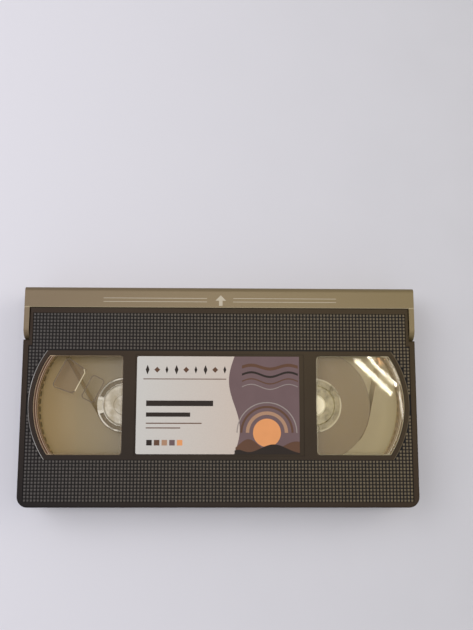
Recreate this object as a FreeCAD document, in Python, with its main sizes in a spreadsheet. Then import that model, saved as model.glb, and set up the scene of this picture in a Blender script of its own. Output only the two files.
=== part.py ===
import FreeCAD, Part
import math
import os

import Sketcher
from FreeCAD import Vector

# A video cassette, label side up, its front door towards +Y, standing on z = 0 with the origin
# under the middle of its outline. The take-up reel is on the +X side. Lengths are in millimetres.

os.makedirs("parts", exist_ok=True)
doc = FreeCAD.newDocument("video_cassette")
sheet = doc.addObject("Spreadsheet::Sheet", "Sizes")


class Size:
    """A length that knows both its value and the sheet expression that gives it."""

    def __init__(self, value, text):
        self.value = value
        self.text = text

    def __add__(self, other):
        other = as_size(other)
        return Size(self.value + other.value, f"({self.text} + {other.text})")

    def __radd__(self, other):
        return as_size(other) + self

    def __sub__(self, other):
        other = as_size(other)
        return Size(self.value - other.value, f"({self.text} - {other.text})")

    def __rsub__(self, other):
        return as_size(other) - self

    def __mul__(self, other):
        other = as_size(other)
        return Size(self.value * other.value, f"({self.text} * {other.text})")

    def __rmul__(self, other):
        return self * other

    def __truediv__(self, other):
        other = as_size(other)
        return Size(self.value / other.value, f"({self.text} / {other.text})")

    def __neg__(self):
        return Size(-self.value, f"(0 - {self.text})")


def as_size(value):
    return value if isinstance(value, Size) else Size(float(value), repr(float(value)))


def root(value):
    return Size(math.sqrt(value.value), f"sqrt({value.text})")


def driving(alias, value):
    """Writes one driving dimension into the sheet and returns it."""
    driving.row += 1
    sheet.set(f"A{driving.row}", alias)
    sheet.set(f"B{driving.row}", str(value))
    sheet.setAlias(f"B{driving.row}", alias)
    return Size(float(value), f"Sizes.{alias}")


driving.row = 0

# Overall form
width = driving("width", 188.0)
depth = driving("depth", 104.0)
height = driving("height", 25.0)
wall = driving("wall", 2.0)
floor_skin = driving("floor_skin", 2.0)
roof_skin = driving("roof_skin", 2.0)
split_height = driving("split_height", 12.5)
corner_radius = driving("corner_radius", 5.0)
edge_radius = driving("edge_radius", 0.8)
base_edge_radius = driving("base_edge_radius", 0.6)
fit_gap = driving("fit_gap", 0.3)
seat_gap = driving("seat_gap", 0.1)
pin_gap = driving("pin_gap", 0.06)
root_in = driving("root_in", 0.5)

# Reels and tape
reel_spacing = driving("reel_spacing", 92.0)
reel_from_rear = driving("reel_from_rear", 47.5)
flange_radius = driving("flange_radius", 44.5)
flange_thickness = driving("flange_thickness", 1.2)
flange_lift = driving("flange_lift", 1.2)
upper_flange_inset = driving("upper_flange_inset", 0.7)
upper_flange_thickness = driving("upper_flange_thickness", 0.9)
rim_teeth = driving("rim_teeth", 72)
tooth_depth = driving("tooth_depth", 1.1)
tooth_root_width = driving("tooth_root_width", 1.6)
tooth_tip_width = driving("tooth_tip_width", 0.8)
hub_radius = driving("hub_radius", 13.0)
hub_foot = driving("hub_foot", 0.8)
spindle_radius = driving("spindle_radius", 8.5)
spindle_depth = driving("spindle_depth", 13.5)
spline_depth = driving("spline_depth", 1.7)
spline_width = driving("spline_width", 1.8)
spline_count = driving("spline_count", 6)
crown_radius = driving("crown_radius", 9.7)
crown_rise = driving("crown_rise", 1.4)
crown_bevel = driving("crown_bevel", 0.6)
button_radius = driving("button_radius", 4.9)
button_rise = driving("button_rise", 0.9)
button_bevel = driving("button_bevel", 0.5)
hub_pocket_inner = driving("hub_pocket_inner", 10.4)
hub_pocket_outer = driving("hub_pocket_outer", 12.4)
hub_pocket_depth = driving("hub_pocket_depth", 0.8)
drive_hole_gap = driving("drive_hole_gap", 1.2)
tape_width = driving("tape_width", 12.7)
tape_margin = driving("tape_margin", 0.6)
pack_radius = driving("pack_radius", 27.0)
ribbon = driving("ribbon", 0.1)
ribbon_gap = driving("ribbon_gap", 0.25)
clamp_width = driving("clamp_width", 5.0)
clamp_depth = driving("clamp_depth", 2.6)
panel_rise = driving("panel_rise", 0.3)
panel_count = driving("panel_count", 3)
outer_panel_near = driving("outer_panel_near", 24.0)
outer_panel_far = driving("outer_panel_far", 35.0)
outer_panel_narrow = driving("outer_panel_narrow", 12.5)
outer_panel_wide = driving("outer_panel_wide", 15.6)
inner_panel_near = driving("inner_panel_near", 13.6)
inner_panel_far = driving("inner_panel_far", 20.0)
inner_panel_width = driving("inner_panel_width", 12.0)

# Windows, label and grip fields
window_radius = driving("window_radius", 42.3)
window_half_height = driving("window_half_height", 23.5)
window_corner = driving("window_corner", 1.8)
window_gap = driving("window_gap", 0.12)
window_lip = driving("window_lip", 1.4)
window_lip_thickness = driving("window_lip_thickness", 1.0)
window_bevel = driving("window_bevel", 0.5)
window_inset = driving("window_inset", 0.15)
border = driving("border", 2.1)
label_bay_width = driving("label_bay_width", 80.5)
label_bay_height = driving("label_bay_height", 48.0)
label_bay_depth = driving("label_bay_depth", 0.4)
label_width = driving("label_width", 77.3)
label_height = driving("label_height", 46.0)
label_shift = driving("label_shift", 0.75)
label_thickness = driving("label_thickness", 0.12)
label_corner = driving("label_corner", 0.8)
grip_depth = driving("grip_depth", 0.35)
grip_side_margin = driving("grip_side_margin", 2.7)
grip_neck_margin = driving("grip_neck_margin", 1.6)
grip_rear_margin = driving("grip_rear_margin", 2.5)
grip_front_margin = driving("grip_front_margin", 2.7)
spine_bay_width = driving("spine_bay_width", 147.0)
spine_bay_margin = driving("spine_bay_margin", 3.0)
spine_bay_depth = driving("spine_bay_depth", 0.3)

# Front door
door_lip = driving("door_lip", 10.0)
door_wall = driving("door_wall", 1.7)
door_lip_thickness = driving("door_lip_thickness", 1.6)
door_clear_floor = driving("door_clear_floor", 1.5)
door_front_round = driving("door_front_round", 2.2)
door_edge_round = driving("door_edge_round", 0.4)
arm_length = driving("arm_length", 25.4)
arm_thickness = driving("arm_thickness", 2.5)
arm_drop = driving("arm_drop", 10.8)
arm_round = driving("arm_round", 5.3)
arm_knee = driving("arm_knee", 0.5)
arm_knee_round = driving("arm_knee_round", 2.0)
arm_foot = driving("arm_foot", 8.0)
arm_foot_round = driving("arm_foot_round", 1.0)
hinge_pin_radius = driving("hinge_pin_radius", 1.5)
hinge_spring_pin = driving("hinge_spring_pin", 6.2)

# Ribs, posts and recesses of the two half shells
cheek_gap = driving("cheek_gap", 0.5)
shelf_back = driving("shelf_back", 2.5)
collar_wall = driving("collar_wall", 1.8)
collar_gap = driving("collar_gap", 0.4)
seat_step = driving("seat_step", 0.5)
ear_wall = driving("ear_wall", 1.4)
ear_half_depth = driving("ear_half_depth", 1.9)
ear_rise = driving("ear_rise", 1.8)
protect_inset = driving("protect_inset", 14.0)
protect_width = driving("protect_width", 8.8)
protect_depth = driving("protect_depth", 4.4)
protect_wall = driving("protect_wall", 1.2)
protect_skin = driving("protect_skin", 0.8)

# Tape guides and mouth
guide_post_x = driving("guide_post_x", 83.3)
guide_post_set_back = driving("guide_post_set_back", 5.4)
guide_post_radius = driving("guide_post_radius", 1.5)
roller_x = driving("roller_x", 83.0)
roller_set_back = driving("roller_set_back", 13.0)
roller_radius = driving("roller_radius", 3.0)
roller_pin_radius = driving("roller_pin_radius", 1.2)
roller_overrun = driving("roller_overrun", 0.5)
roller_lip = driving("roller_lip", 1.4)
roller_groove = driving("roller_groove", 0.4)
flap_length = driving("flap_length", 9.0)
flap_foot = driving("flap_foot", 2.0)
flap_thickness = driving("flap_thickness", 0.25)
flap_margin = driving("flap_margin", 1.5)
mouth_wall = driving("mouth_wall", 1.3)
mouth_outer = driving("mouth_outer", 75.0)
mouth_inner = driving("mouth_inner", 14.0)
mouth_set_back = driving("mouth_set_back", 4.0)
lamp_radius = driving("lamp_radius", 4.3)
lamp_wall = driving("lamp_wall", 1.1)
lamp_set_back = driving("lamp_set_back", 11.0)
lamp_height = driving("lamp_height", 16.0)
lamp_slot_width = driving("lamp_slot_width", 2.4)
lamp_slot_foot = driving("lamp_slot_foot", 2.0)
lamp_slot_head = driving("lamp_slot_head", 5.0)
locating_x = driving("locating_x", 79.6)
locating_set_back = driving("locating_set_back", 17.5)
locating_radius = driving("locating_radius", 2.4)

# Screws
screw_side_inset = driving("screw_side_inset", 8.0)
screw_rear_inset = driving("screw_rear_inset", 8.0)
screw_front_set_back = driving("screw_front_set_back", 27.5)
screw_middle_set_back = driving("screw_middle_set_back", 30.5)
boss_radius = driving("boss_radius", 3.0)
screw_radius = driving("screw_radius", 1.3)
screw_head_radius = driving("screw_head_radius", 2.3)
screw_head_height = driving("screw_head_height", 1.5)
screw_head_sink = driving("screw_head_sink", 0.5)
screw_length = driving("screw_length", 17.0)
screw_gap = driving("screw_gap", 0.05)
screw_cross_reach = driving("screw_cross_reach", 1.2)
screw_cross_width = driving("screw_cross_width", 0.5)
screw_cross_depth = driving("screw_cross_depth", 0.8)

# Reel brakes
pawl_pivot_x = driving("pawl_pivot_x", 19.0)
pawl_pivot_inset = driving("pawl_pivot_inset", 6.0)
pawl_post_radius = driving("pawl_post_radius", 1.4)
pawl_post_rise = driving("pawl_post_rise", 2.0)
pawl_hub_radius = driving("pawl_hub_radius", 2.8)
pawl_lift = driving("pawl_lift", 1.0)
pawl_thickness = driving("pawl_thickness", 4.6)
pawl_angle = driving("pawl_angle", 47.5)
pawl_toe_gap = driving("pawl_toe_gap", 0.3)
pawl_toe_tip = driving("pawl_toe_tip", 0.8)
pawl_toe_length = driving("pawl_toe_length", 1.8)
pawl_toe_root = driving("pawl_toe_root", 3.0)
pawl_heel_back = driving("pawl_heel_back", 3.4)
pawl_heel_aside = driving("pawl_heel_aside", 2.4)
pawl_flank_x = driving("pawl_flank_x", 2.0)
pawl_flank_y = driving("pawl_flank_y", 1.4)
pawl_shoulder_x = driving("pawl_shoulder_x", 5.5)
pawl_shoulder_y = driving("pawl_shoulder_y", 3.4)
pawl_back_x = driving("pawl_back_x", 1.5)
pawl_back_y = driving("pawl_back_y", 1.9)
pawl_tail_near = driving("pawl_tail_near", 1.2)
pawl_tail_far = driving("pawl_tail_far", 2.4)
pawl_fin_length = driving("pawl_fin_length", 3.0)
pawl_fin_height = driving("pawl_fin_height", 10.4)
release_pivot_inset = driving("release_pivot_inset", 11.5)
release_pivot_height = driving("release_pivot_height", 6.5)
release_pin_radius = driving("release_pin_radius", 1.2)
release_pin_reach = driving("release_pin_reach", 1.6)
release_hole_radius = driving("release_hole_radius", 3.4)
release_hole_offset = driving("release_hole_offset", 5.6)
release_reach = driving("release_reach", 6.0)
release_width = driving("release_width", 6.0)
release_drop = driving("release_drop", 3.2)
release_foot_height = driving("release_foot_height", 1.4)
release_foot_near = driving("release_foot_near", 2.0)
release_foot_far = driving("release_foot_far", 8.2)
release_back = driving("release_back", 1.5)
release_cheek = driving("release_cheek", 1.7)
release_neck = driving("release_neck", 0.6)
release_head_rise = driving("release_head_rise", 1.2)
release_head_height = driving("release_head_height", 3.0)
release_bar_reach = driving("release_bar_reach", 2.6)
release_bar_height = driving("release_bar_height", 2.4)

# Door lock
lock_set_back = driving("lock_set_back", 18.5)
lock_hub_radius = driving("lock_hub_radius", 2.1)
lock_post_radius = driving("lock_post_radius", 1.2)
lock_reach = driving("lock_reach", 11.3)
lock_bar = driving("lock_bar", 1.4)
lock_height = driving("lock_height", 2.2)
lock_lift = driving("lock_lift", 0.5)
lock_post_height = driving("lock_post_height", 6.0)
lock_button_length = driving("lock_button_length", 2.6)
lock_button_height = driving("lock_button_height", 4.0)
lock_button_round = driving("lock_button_round", 0.4)
lock_window_gap = driving("lock_window_gap", 0.4)
lock_relief_gap = driving("lock_relief_gap", 0.8)

# Springs
wire_radius = driving("wire_radius", 0.3)
coil_pitch = driving("coil_pitch", 0.75)
coil_turns = driving("coil_turns", 2)
coil_leg = driving("coil_leg", 3.0)
door_coil_leg = driving("door_coil_leg", 4.0)
door_coil_inset = driving("door_coil_inset", 0.7)
leaf_thickness = driving("leaf_thickness", 0.3)
leaf_width = driving("leaf_width", 8.0)
leaf_bend = driving("leaf_bend", 8.0)
leaf_foot = driving("leaf_foot", 6.0)
leaf_hole_radius = driving("leaf_hole_radius", 1.1)
leaf_seat_radius = driving("leaf_seat_radius", 3.0)
leaf_seat_drop = driving("leaf_seat_drop", 0.4)
leaf_stem_radius = driving("leaf_stem_radius", 1.0)
leaf_stake_radius = driving("leaf_stake_radius", 1.9)
leaf_stake_height = driving("leaf_stake_height", 0.4)

# Places worked out from the driving dimensions
side = width / 2
front = depth / 2
rear = -depth / 2
reel_x = reel_spacing / 2
reel_y = rear + reel_from_rear
arm_space = arm_thickness + fit_gap
shell_front = front - door_wall - fit_gap
notch_rear = front - arm_length - fit_gap
neck_side = side - arm_space
roof_under = height - roof_skin
lip_under = height - door_lip_thickness - fit_gap
shelf_under = lip_under - roof_skin
flange_under = floor_skin + flange_lift
flange_top = flange_under + flange_thickness
tape_low = flange_top + tape_margin
tape_high = tape_low + tape_width
hub_top = tape_high + tape_margin
upper_flange_top = hub_top + upper_flange_thickness
crown_top = hub_top + crown_rise
button_top = crown_top + button_rise
hinge_y = front - arm_length + arm_drop / 2
hinge_z = height - arm_drop / 2
guide_post_y = front - guide_post_set_back
roller_y = front - roller_set_back
lamp_y = front - lamp_set_back
release_y = rear + release_pivot_inset
pawl_y = rear + pawl_pivot_inset
lock_x = neck_side - wall - lock_hub_radius - fit_gap
lock_y = front - lock_set_back
screw_places = [
    (side - screw_side_inset, rear + screw_rear_inset),
    (screw_side_inset - side, rear + screw_rear_inset),
    (side - screw_side_inset, front - screw_front_set_back),
    (screw_side_inset - side, front - screw_front_set_back),
    (as_size(0), front - screw_middle_set_back),
]
PAST = 2.0  # how far a cutting tool runs past the face that it opens
HAIR = 0.01  # the same where another piece stands close behind the face
PANEL_TURN = -27.0  # degrees between the flange's first panel and the leader clamp
subparts = {}


# Small tools for bound features
def bind(item, prop, value):
    value = as_size(value)
    item.setExpression(prop, value.text)


def place(item, x=0, y=0, z=0):
    for axis, value in (("x", x), ("y", y), ("z", z)):
        bind(item, f"Placement.Base.{axis}", value)
    return item


def box(name, x, y, z):
    """A box between two bound values along each axis."""
    item = doc.addObject("Part::Box", name)
    for edge, span in (("Length", x), ("Width", y), ("Height", z)):
        bind(item, edge, span[1] - span[0])
    return place(item, x[0], y[0], z[0])


def cylinder(name, x, y, z, radius):
    """An upright cylinder between two heights."""
    item = doc.addObject("Part::Cylinder", name)
    bind(item, "Radius", radius)
    bind(item, "Height", z[1] - z[0])
    return place(item, x, y, z[0])


def rod_along_x(name, x, y, z, radius):
    """A cylinder lying along X."""
    item = doc.addObject("Part::Cylinder", name)
    item.Placement.Rotation = FreeCAD.Rotation(Vector(0, 1, 0), 90)
    bind(item, "Radius", radius)
    bind(item, "Height", x[1] - x[0])
    return place(item, x[0], y, z)


def fuse(name, items):
    item = doc.addObject("Part::MultiFuse", name)
    item.Shapes = items
    return item


def cut(name, base, tools):
    item = doc.addObject("Part::Cut", name)
    item.Base = base
    item.Tool = tools[0] if len(tools) == 1 else fuse(f"{name}_tools", tools)
    return item


def common(name, first, second):
    item = doc.addObject("Part::MultiCommon", name)
    item.Shapes = [first, second]
    return item


def subpart(node, item):
    """Names the object that gives one node of the assembly."""
    item.Label = node
    subparts[node] = item
    return item


def new_body(name):
    return doc.addObject("PartDesign::Body", name)


def origin_feature(body, role):
    return [item for item in body.Origin.OriginFeatures if item.Role == role][0]


def new_sketch(body, name, plane, offset=0):
    sketch = body.newObject("Sketcher::SketchObject", name)
    sketch.AttachmentSupport = (origin_feature(body, plane), [""])
    sketch.MapMode = "FlatFace"
    bind(sketch, "AttachmentOffset.Base.z", offset)
    return sketch


def constrain(sketch, rule, value):
    """Adds one dimension and binds it to its sheet expression."""
    number = sketch.addConstraint(rule)
    sketch.setExpression(f"Constraints[{number}]", value.text)


def hold_point(sketch, geometry, position, x, y):
    for kind, value in (("DistanceX", x), ("DistanceY", y)):
        rule = Sketcher.Constraint(kind, -1, 1, geometry, position, value.value)
        constrain(sketch, rule, value)


def outline(sketch, corners):
    """A closed outline through corners (x, y) or (x, y, radius), each dimension bound."""
    points = [(as_size(c[0]), as_size(c[1]), as_size(c[2]) if len(c) > 2 else None) for c in corners]
    spots = [Vector(x.value, y.value, 0) for x, y, radius in points]
    count = len(points)
    starts = list(spots)
    ends = list(spots)
    for i, (x, y, radius) in enumerate(points):
        if radius is None:
            continue
        back = (spots[i - 1] - spots[i]).normalize()
        on = (spots[(i + 1) % count] - spots[i]).normalize()
        reach = radius.value / math.tan(back.getAngle(on) / 2)
        starts[i] = spots[i] + on * reach
        ends[i] = spots[i] + back * reach
    lines = [
        sketch.addGeometry(Part.LineSegment(starts[i], ends[(i + 1) % count]), False)
        for i in range(count)
    ]
    for i, (x, y, radius) in enumerate(points):
        before, after = lines[i - 1], lines[i]
        if radius is None:
            sketch.addConstraint(Sketcher.Constraint("Coincident", before, 2, after, 1))
            hold_point(sketch, after, 1, x, y)
            continue
        back = (spots[i - 1] - spots[i]).normalize()
        on = (spots[(i + 1) % count] - spots[i]).normalize()
        inward = (back + on).normalize()
        centre = spots[i] + inward * (radius.value / math.sin(back.getAngle(on) / 2))
        middle = centre - inward * radius.value
        arc = sketch.addGeometry(Part.Arc(ends[i], middle, starts[i]), False)
        turns_left = back.cross(on).z < 0
        first, last = (1, 2) if turns_left else (2, 1)
        corner = sketch.addGeometry(Part.Point(spots[i]), True)
        sketch.addConstraint(Sketcher.Constraint("Tangent", before, 2, arc, first))
        sketch.addConstraint(Sketcher.Constraint("Tangent", arc, last, after, 1))
        sketch.addConstraint(Sketcher.Constraint("PointOnObject", corner, 1, before))
        sketch.addConstraint(Sketcher.Constraint("PointOnObject", corner, 1, after))
        hold_point(sketch, corner, 1, x, y)
        constrain(sketch, Sketcher.Constraint("Radius", arc, radius.value), radius)
    return sketch


def pad(body, sketch, length, name):
    item = body.newObject("PartDesign::Pad", name)
    item.Profile = sketch
    bind(item, "Length", length)
    return item


def pocket_up(body, sketch, length, name):
    """A pocket that runs from the sketch's plane along its normal."""
    item = body.newObject("PartDesign::Pocket", name)
    item.Profile = sketch
    item.Reversed = True
    bind(item, "Length", length)
    return item


def plate(name, corners, z):
    """A flat piece of any outline between two heights."""
    body = new_body(name)
    sketch = outline(new_sketch(body, f"{name}_outline", "XY_Plane", z[0]), corners)
    pad(body, sketch, z[1] - z[0], f"{name}_pad")
    return body


def side_plate(name, corners, x):
    """A piece with a side-view outline (y, z), between two places along X."""
    body = new_body(name)
    sketch = outline(new_sketch(body, f"{name}_outline", "YZ_Plane", x[0]), corners)
    pad(body, sketch, x[1] - x[0], f"{name}_pad")
    return body


def turned(name, profile, x, y):
    """A revolved piece with a profile of (radius, height) corners, standing at x, y."""
    body = new_body(name)
    sketch = outline(new_sketch(body, f"{name}_profile", "XZ_Plane"), profile)
    spin = body.newObject("PartDesign::Revolution", f"{name}_turn")
    spin.Profile = sketch
    spin.ReferenceAxis = (sketch, ["V_Axis"])
    spin.Angle = 360
    place(body, x, y)
    return body


def ring_pattern(body, feature, count, name):
    """Repeats a feature round the body's own upright axis."""
    pattern = body.newObject("PartDesign::PolarPattern", name)
    pattern.Originals = [feature]
    pattern.Axis = (origin_feature(body, "Z_Axis"), [""])
    pattern.Angle = 360
    bind(pattern, "Occurrences", count)
    body.Tip = pattern
    return pattern


def round_face(body, base, height_value, radius, name):
    """Rounds every edge of the flat face at one height."""
    doc.recompute()
    faces = base.Shape.Faces
    flat = [i for i, f in enumerate(faces) if f.BoundBox.ZLength < 1e-6]
    chosen = min(flat, key=lambda i: abs(faces[i].CenterOfMass.z - height_value))
    item = body.newObject("PartDesign::Fillet", name)
    item.Base = (base, [f"Face{chosen + 1}"])
    bind(item, "Radius", radius)
    return item


# Shell outline with the notches for the door's arms
def shell_corners(inset):
    near = notch_rear - inset
    return [
        (inset - side, rear + inset, corner_radius - inset),
        (side - inset, rear + inset, corner_radius - inset),
        (side - inset, near),
        (neck_side - inset, near),
        (neck_side - inset, shell_front),
        (inset - neck_side, shell_front),
        (inset - neck_side, near),
        (inset - side, near),
    ]


def cavity_corners():
    """The space inside the walls, open at the front."""
    corners = shell_corners(wall)
    corners[4] = (neck_side - wall, shell_front + PAST)
    corners[5] = (wall - neck_side, shell_front + PAST)
    return corners


def shell_half(name, z, open_z, rounded_z, radius):
    """One half shell: its rounded block with the cavity sunk into it."""
    body = new_body(name)
    block = outline(new_sketch(body, f"{name}_outline", "XY_Plane", z[0]), shell_corners(as_size(0)))
    solid = pad(body, block, z[1] - z[0], f"{name}_block")
    round_face(body, solid, rounded_z.value, radius, f"{name}_edges")
    hollow = outline(new_sketch(body, f"{name}_cavity", "XY_Plane", open_z[0]), cavity_corners())
    pocket_up(body, hollow, open_z[1] - open_z[0], f"{name}_hollow")
    return body


def mouth_walls(name, z):
    """The walls between the reels and the bay behind the tape, on both sides."""
    items = []
    outer = flange_radius + flange_lift + mouth_wall
    for tag, sign in (("left", -1), ("right", 1)):
        x = sign * reel_x
        drum = cylinder(f"{name}_{tag}_drum", x, reel_y, z, outer)
        bore = cylinder(f"{name}_{tag}_bore", x, reel_y, z, outer - mouth_wall)
        ring = cut(f"{name}_{tag}_ring", drum, [bore])
        low, high = sorted((sign * mouth_inner, sign * (mouth_outer + mouth_wall)), key=lambda s: s.value)
        bay = box(f"{name}_{tag}_bay", (low, high), (reel_y + flange_radius / 2, shell_front), z)
        items.append(common(f"{name}_{tag}_arc", ring, bay))
        for end, at in (("outer", mouth_outer), ("inner", mouth_inner)):
            from_axis = at - reel_x
            start = reel_y + root(outer * outer - from_axis * from_axis) - mouth_wall
            low, high = sorted((sign * at, sign * (at + mouth_wall)), key=lambda s: s.value)
            stop = shell_front - mouth_set_back if end == "outer" else lamp_y + lamp_radius
            items.append(box(f"{name}_{tag}_{end}_wall", (low, high), (start, stop), z))
    across = reel_y + root(outer * outer - (reel_x - mouth_inner) * (reel_x - mouth_inner))
    back = (across - 2 * mouth_wall, across - mouth_wall)
    items.append(box(f"{name}_middle_wall", (-mouth_inner - mouth_wall, mouth_inner + mouth_wall), back, z))
    return items


def mouth_cuts(name, z):
    """The openings through the floor that let the machine's guides in behind the tape."""
    items = []
    outer = flange_radius + flange_lift + mouth_wall
    for tag, sign in (("left", -1), ("right", 1)):
        ends = (sign * (mouth_inner + mouth_wall), sign * mouth_outer)
        low, high = sorted(ends, key=lambda s: s.value)
        bay = box(f"{name}_{tag}_bay", (low, high), (reel_y + flange_radius / 2, front), z)
        drum = cylinder(f"{name}_{tag}_drum", sign * reel_x, reel_y, z, outer)
        items.append(cut(f"{name}_{tag}", bay, [drum]))
    return items


def build_lower_shell():
    tray = shell_half("tray", (as_size(0), split_height), (floor_skin, split_height + PAST), as_size(0),
                      base_edge_radius)
    below = as_size(-PAST)
    up = (floor_skin - root_in, split_height)
    adds = [tray] + mouth_walls("lower_mouth", up)
    cuts = mouth_cuts("lower_cut", (below, floor_skin + HAIR))
    # Cheeks that close the sides under the sloping edge of the door's arms
    slope = (front - arm_foot - hinge_y - arm_knee) / (height - arm_drop - door_clear_floor)
    cheek_top = hinge_y + arm_knee + slope * (height - arm_drop - split_height) - cheek_gap
    cheek_foot = front - arm_foot - cheek_gap
    cheek_root = notch_rear - root_in
    cheek = [(cheek_root, 0), (cheek_foot, 0), (cheek_foot, door_clear_floor),
             (cheek_top, split_height), (cheek_root, split_height)]
    adds.append(side_plate("cheek_left", cheek, (-side, root_in - neck_side)))
    adds.append(side_plate("cheek_right", cheek, (neck_side - root_in, side)))
    for tag, sign in (("left", -1), ("right", 1)):
        x = sign * reel_x
        hole = hub_radius + drive_hole_gap
        collar = (up[0], flange_under - collar_gap)
        adds.append(cylinder(f"collar_{tag}", x, reel_y, collar, hole + collar_wall))
        cuts.append(cylinder(f"drive_hole_{tag}", x, reel_y, (below, split_height), hole))
        pivot = (up[0], floor_skin + pawl_lift + pawl_thickness + pawl_post_rise)
        adds.append(cylinder(f"pawl_post_{tag}", sign * pawl_pivot_x, pawl_y, pivot, pawl_post_radius))
        adds.append(cylinder(f"pawl_seat_{tag}", sign * pawl_pivot_x, pawl_y,
                             (up[0], floor_skin + pawl_lift - seat_gap), pawl_hub_radius - seat_step))
        inner = release_width / 2 + fit_gap
        low, high = sorted((sign * inner, sign * (inner + ear_wall)), key=lambda s: s.value)
        ear = (release_y - ear_half_depth, release_y + ear_half_depth)
        adds.append(box(f"release_ear_{tag}", (low, high), ear, (up[0], release_pivot_height + ear_rise)))
        cuts.append(cylinder(f"locating_hole_{tag}", sign * locating_x, front - locating_set_back,
                             (below, split_height), locating_radius))
    ear_span = (-release_width, release_width)
    cuts.append(rod_along_x("release_bearing", ear_span, release_y, release_pivot_height,
                            release_pin_radius + pin_gap))
    for number, (x, y) in enumerate(screw_places):
        adds.append(cylinder(f"boss_{number}", x, y, up, boss_radius))
        cuts.append(cylinder(f"boss_bore_{number}", x, y, (below, split_height + PAST), screw_radius + fit_gap))
        sink = (below, screw_head_sink + screw_head_height)
        cuts.append(cylinder(f"boss_sink_{number}", x, y, sink, screw_head_radius + fit_gap))
    # Lamp well: a blind tube with a light slot across it
    adds.append(cylinder("lamp_tube", as_size(0), lamp_y, (as_size(0), lamp_height), lamp_radius + lamp_wall))
    adds.append(cylinder("lock_post", lock_x, lock_y, (up[0], floor_skin + lock_post_height), lock_post_radius))
    adds.append(cylinder("lock_seat", lock_x, lock_y, (up[0], floor_skin + lock_lift - seat_gap),
                         lock_hub_radius - seat_step))
    cuts.append(cylinder("lamp_bore", as_size(0), lamp_y, (below, lamp_height - lamp_wall), lamp_radius))
    slot = lamp_radius + lamp_wall + PAST
    slot_half = lamp_slot_width / 2
    cuts.append(box("lamp_slot", (-slot, slot), (lamp_y - slot_half, lamp_y + slot_half),
                    (tape_low + lamp_slot_foot, tape_high - lamp_slot_head)))
    cuts.append(cylinder("release_hole", as_size(0), release_y + release_hole_offset, (below, split_height),
                         release_hole_radius))
    # Window in the side wall for the door lock's button
    button = lock_y + lock_reach
    cuts.append(box("lock_window", (neck_side - wall - root_in, side + PAST),
                    (button - lock_button_length - lock_window_gap, button + lock_window_gap),
                    (floor_skin + seat_gap, floor_skin + lock_lift + lock_button_height + lock_window_gap)))
    # Record protection recess at the rear, with its own small walls
    bay_start = protect_inset - side
    bay_end = bay_start + protect_width
    adds.append(box("protect_block", (bay_start - protect_wall, bay_end + protect_wall),
                    (rear + wall / 2, rear + protect_depth + protect_wall), up))
    cuts.append(box("protect_bay", (bay_start, bay_end), (rear - PAST, rear + protect_depth),
                    (floor_skin + protect_skin, split_height - protect_wall)))
    cuts.append(box("lower_spine_bay", (-spine_bay_width / 2, spine_bay_width / 2),
                    (rear - PAST, rear + spine_bay_depth), (spine_bay_margin, split_height + PAST)))
    subpart("lower_shell", cut("lower_shell", fuse("lower_form", adds), cuts))


def window_form(name, sign, grow, z, corner):
    """The D-shaped window outline, grown or shrunk all round, between two heights."""
    low = reel_x - grow
    high = reel_x + window_radius + grow + PAST
    half = window_half_height + grow
    corners = [(low, reel_y - half, corner), (high, reel_y - half), (high, reel_y + half),
               (low, reel_y + half, corner)]
    if sign < 0:
        corners = [(-c[0],) + tuple(c[1:]) for c in reversed(corners)]
    slab = plate(f"{name}_slab", corners, z)
    drum = cylinder(f"{name}_drum", sign * reel_x, reel_y, z, window_radius + grow)
    return common(name, slab, drum)


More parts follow.
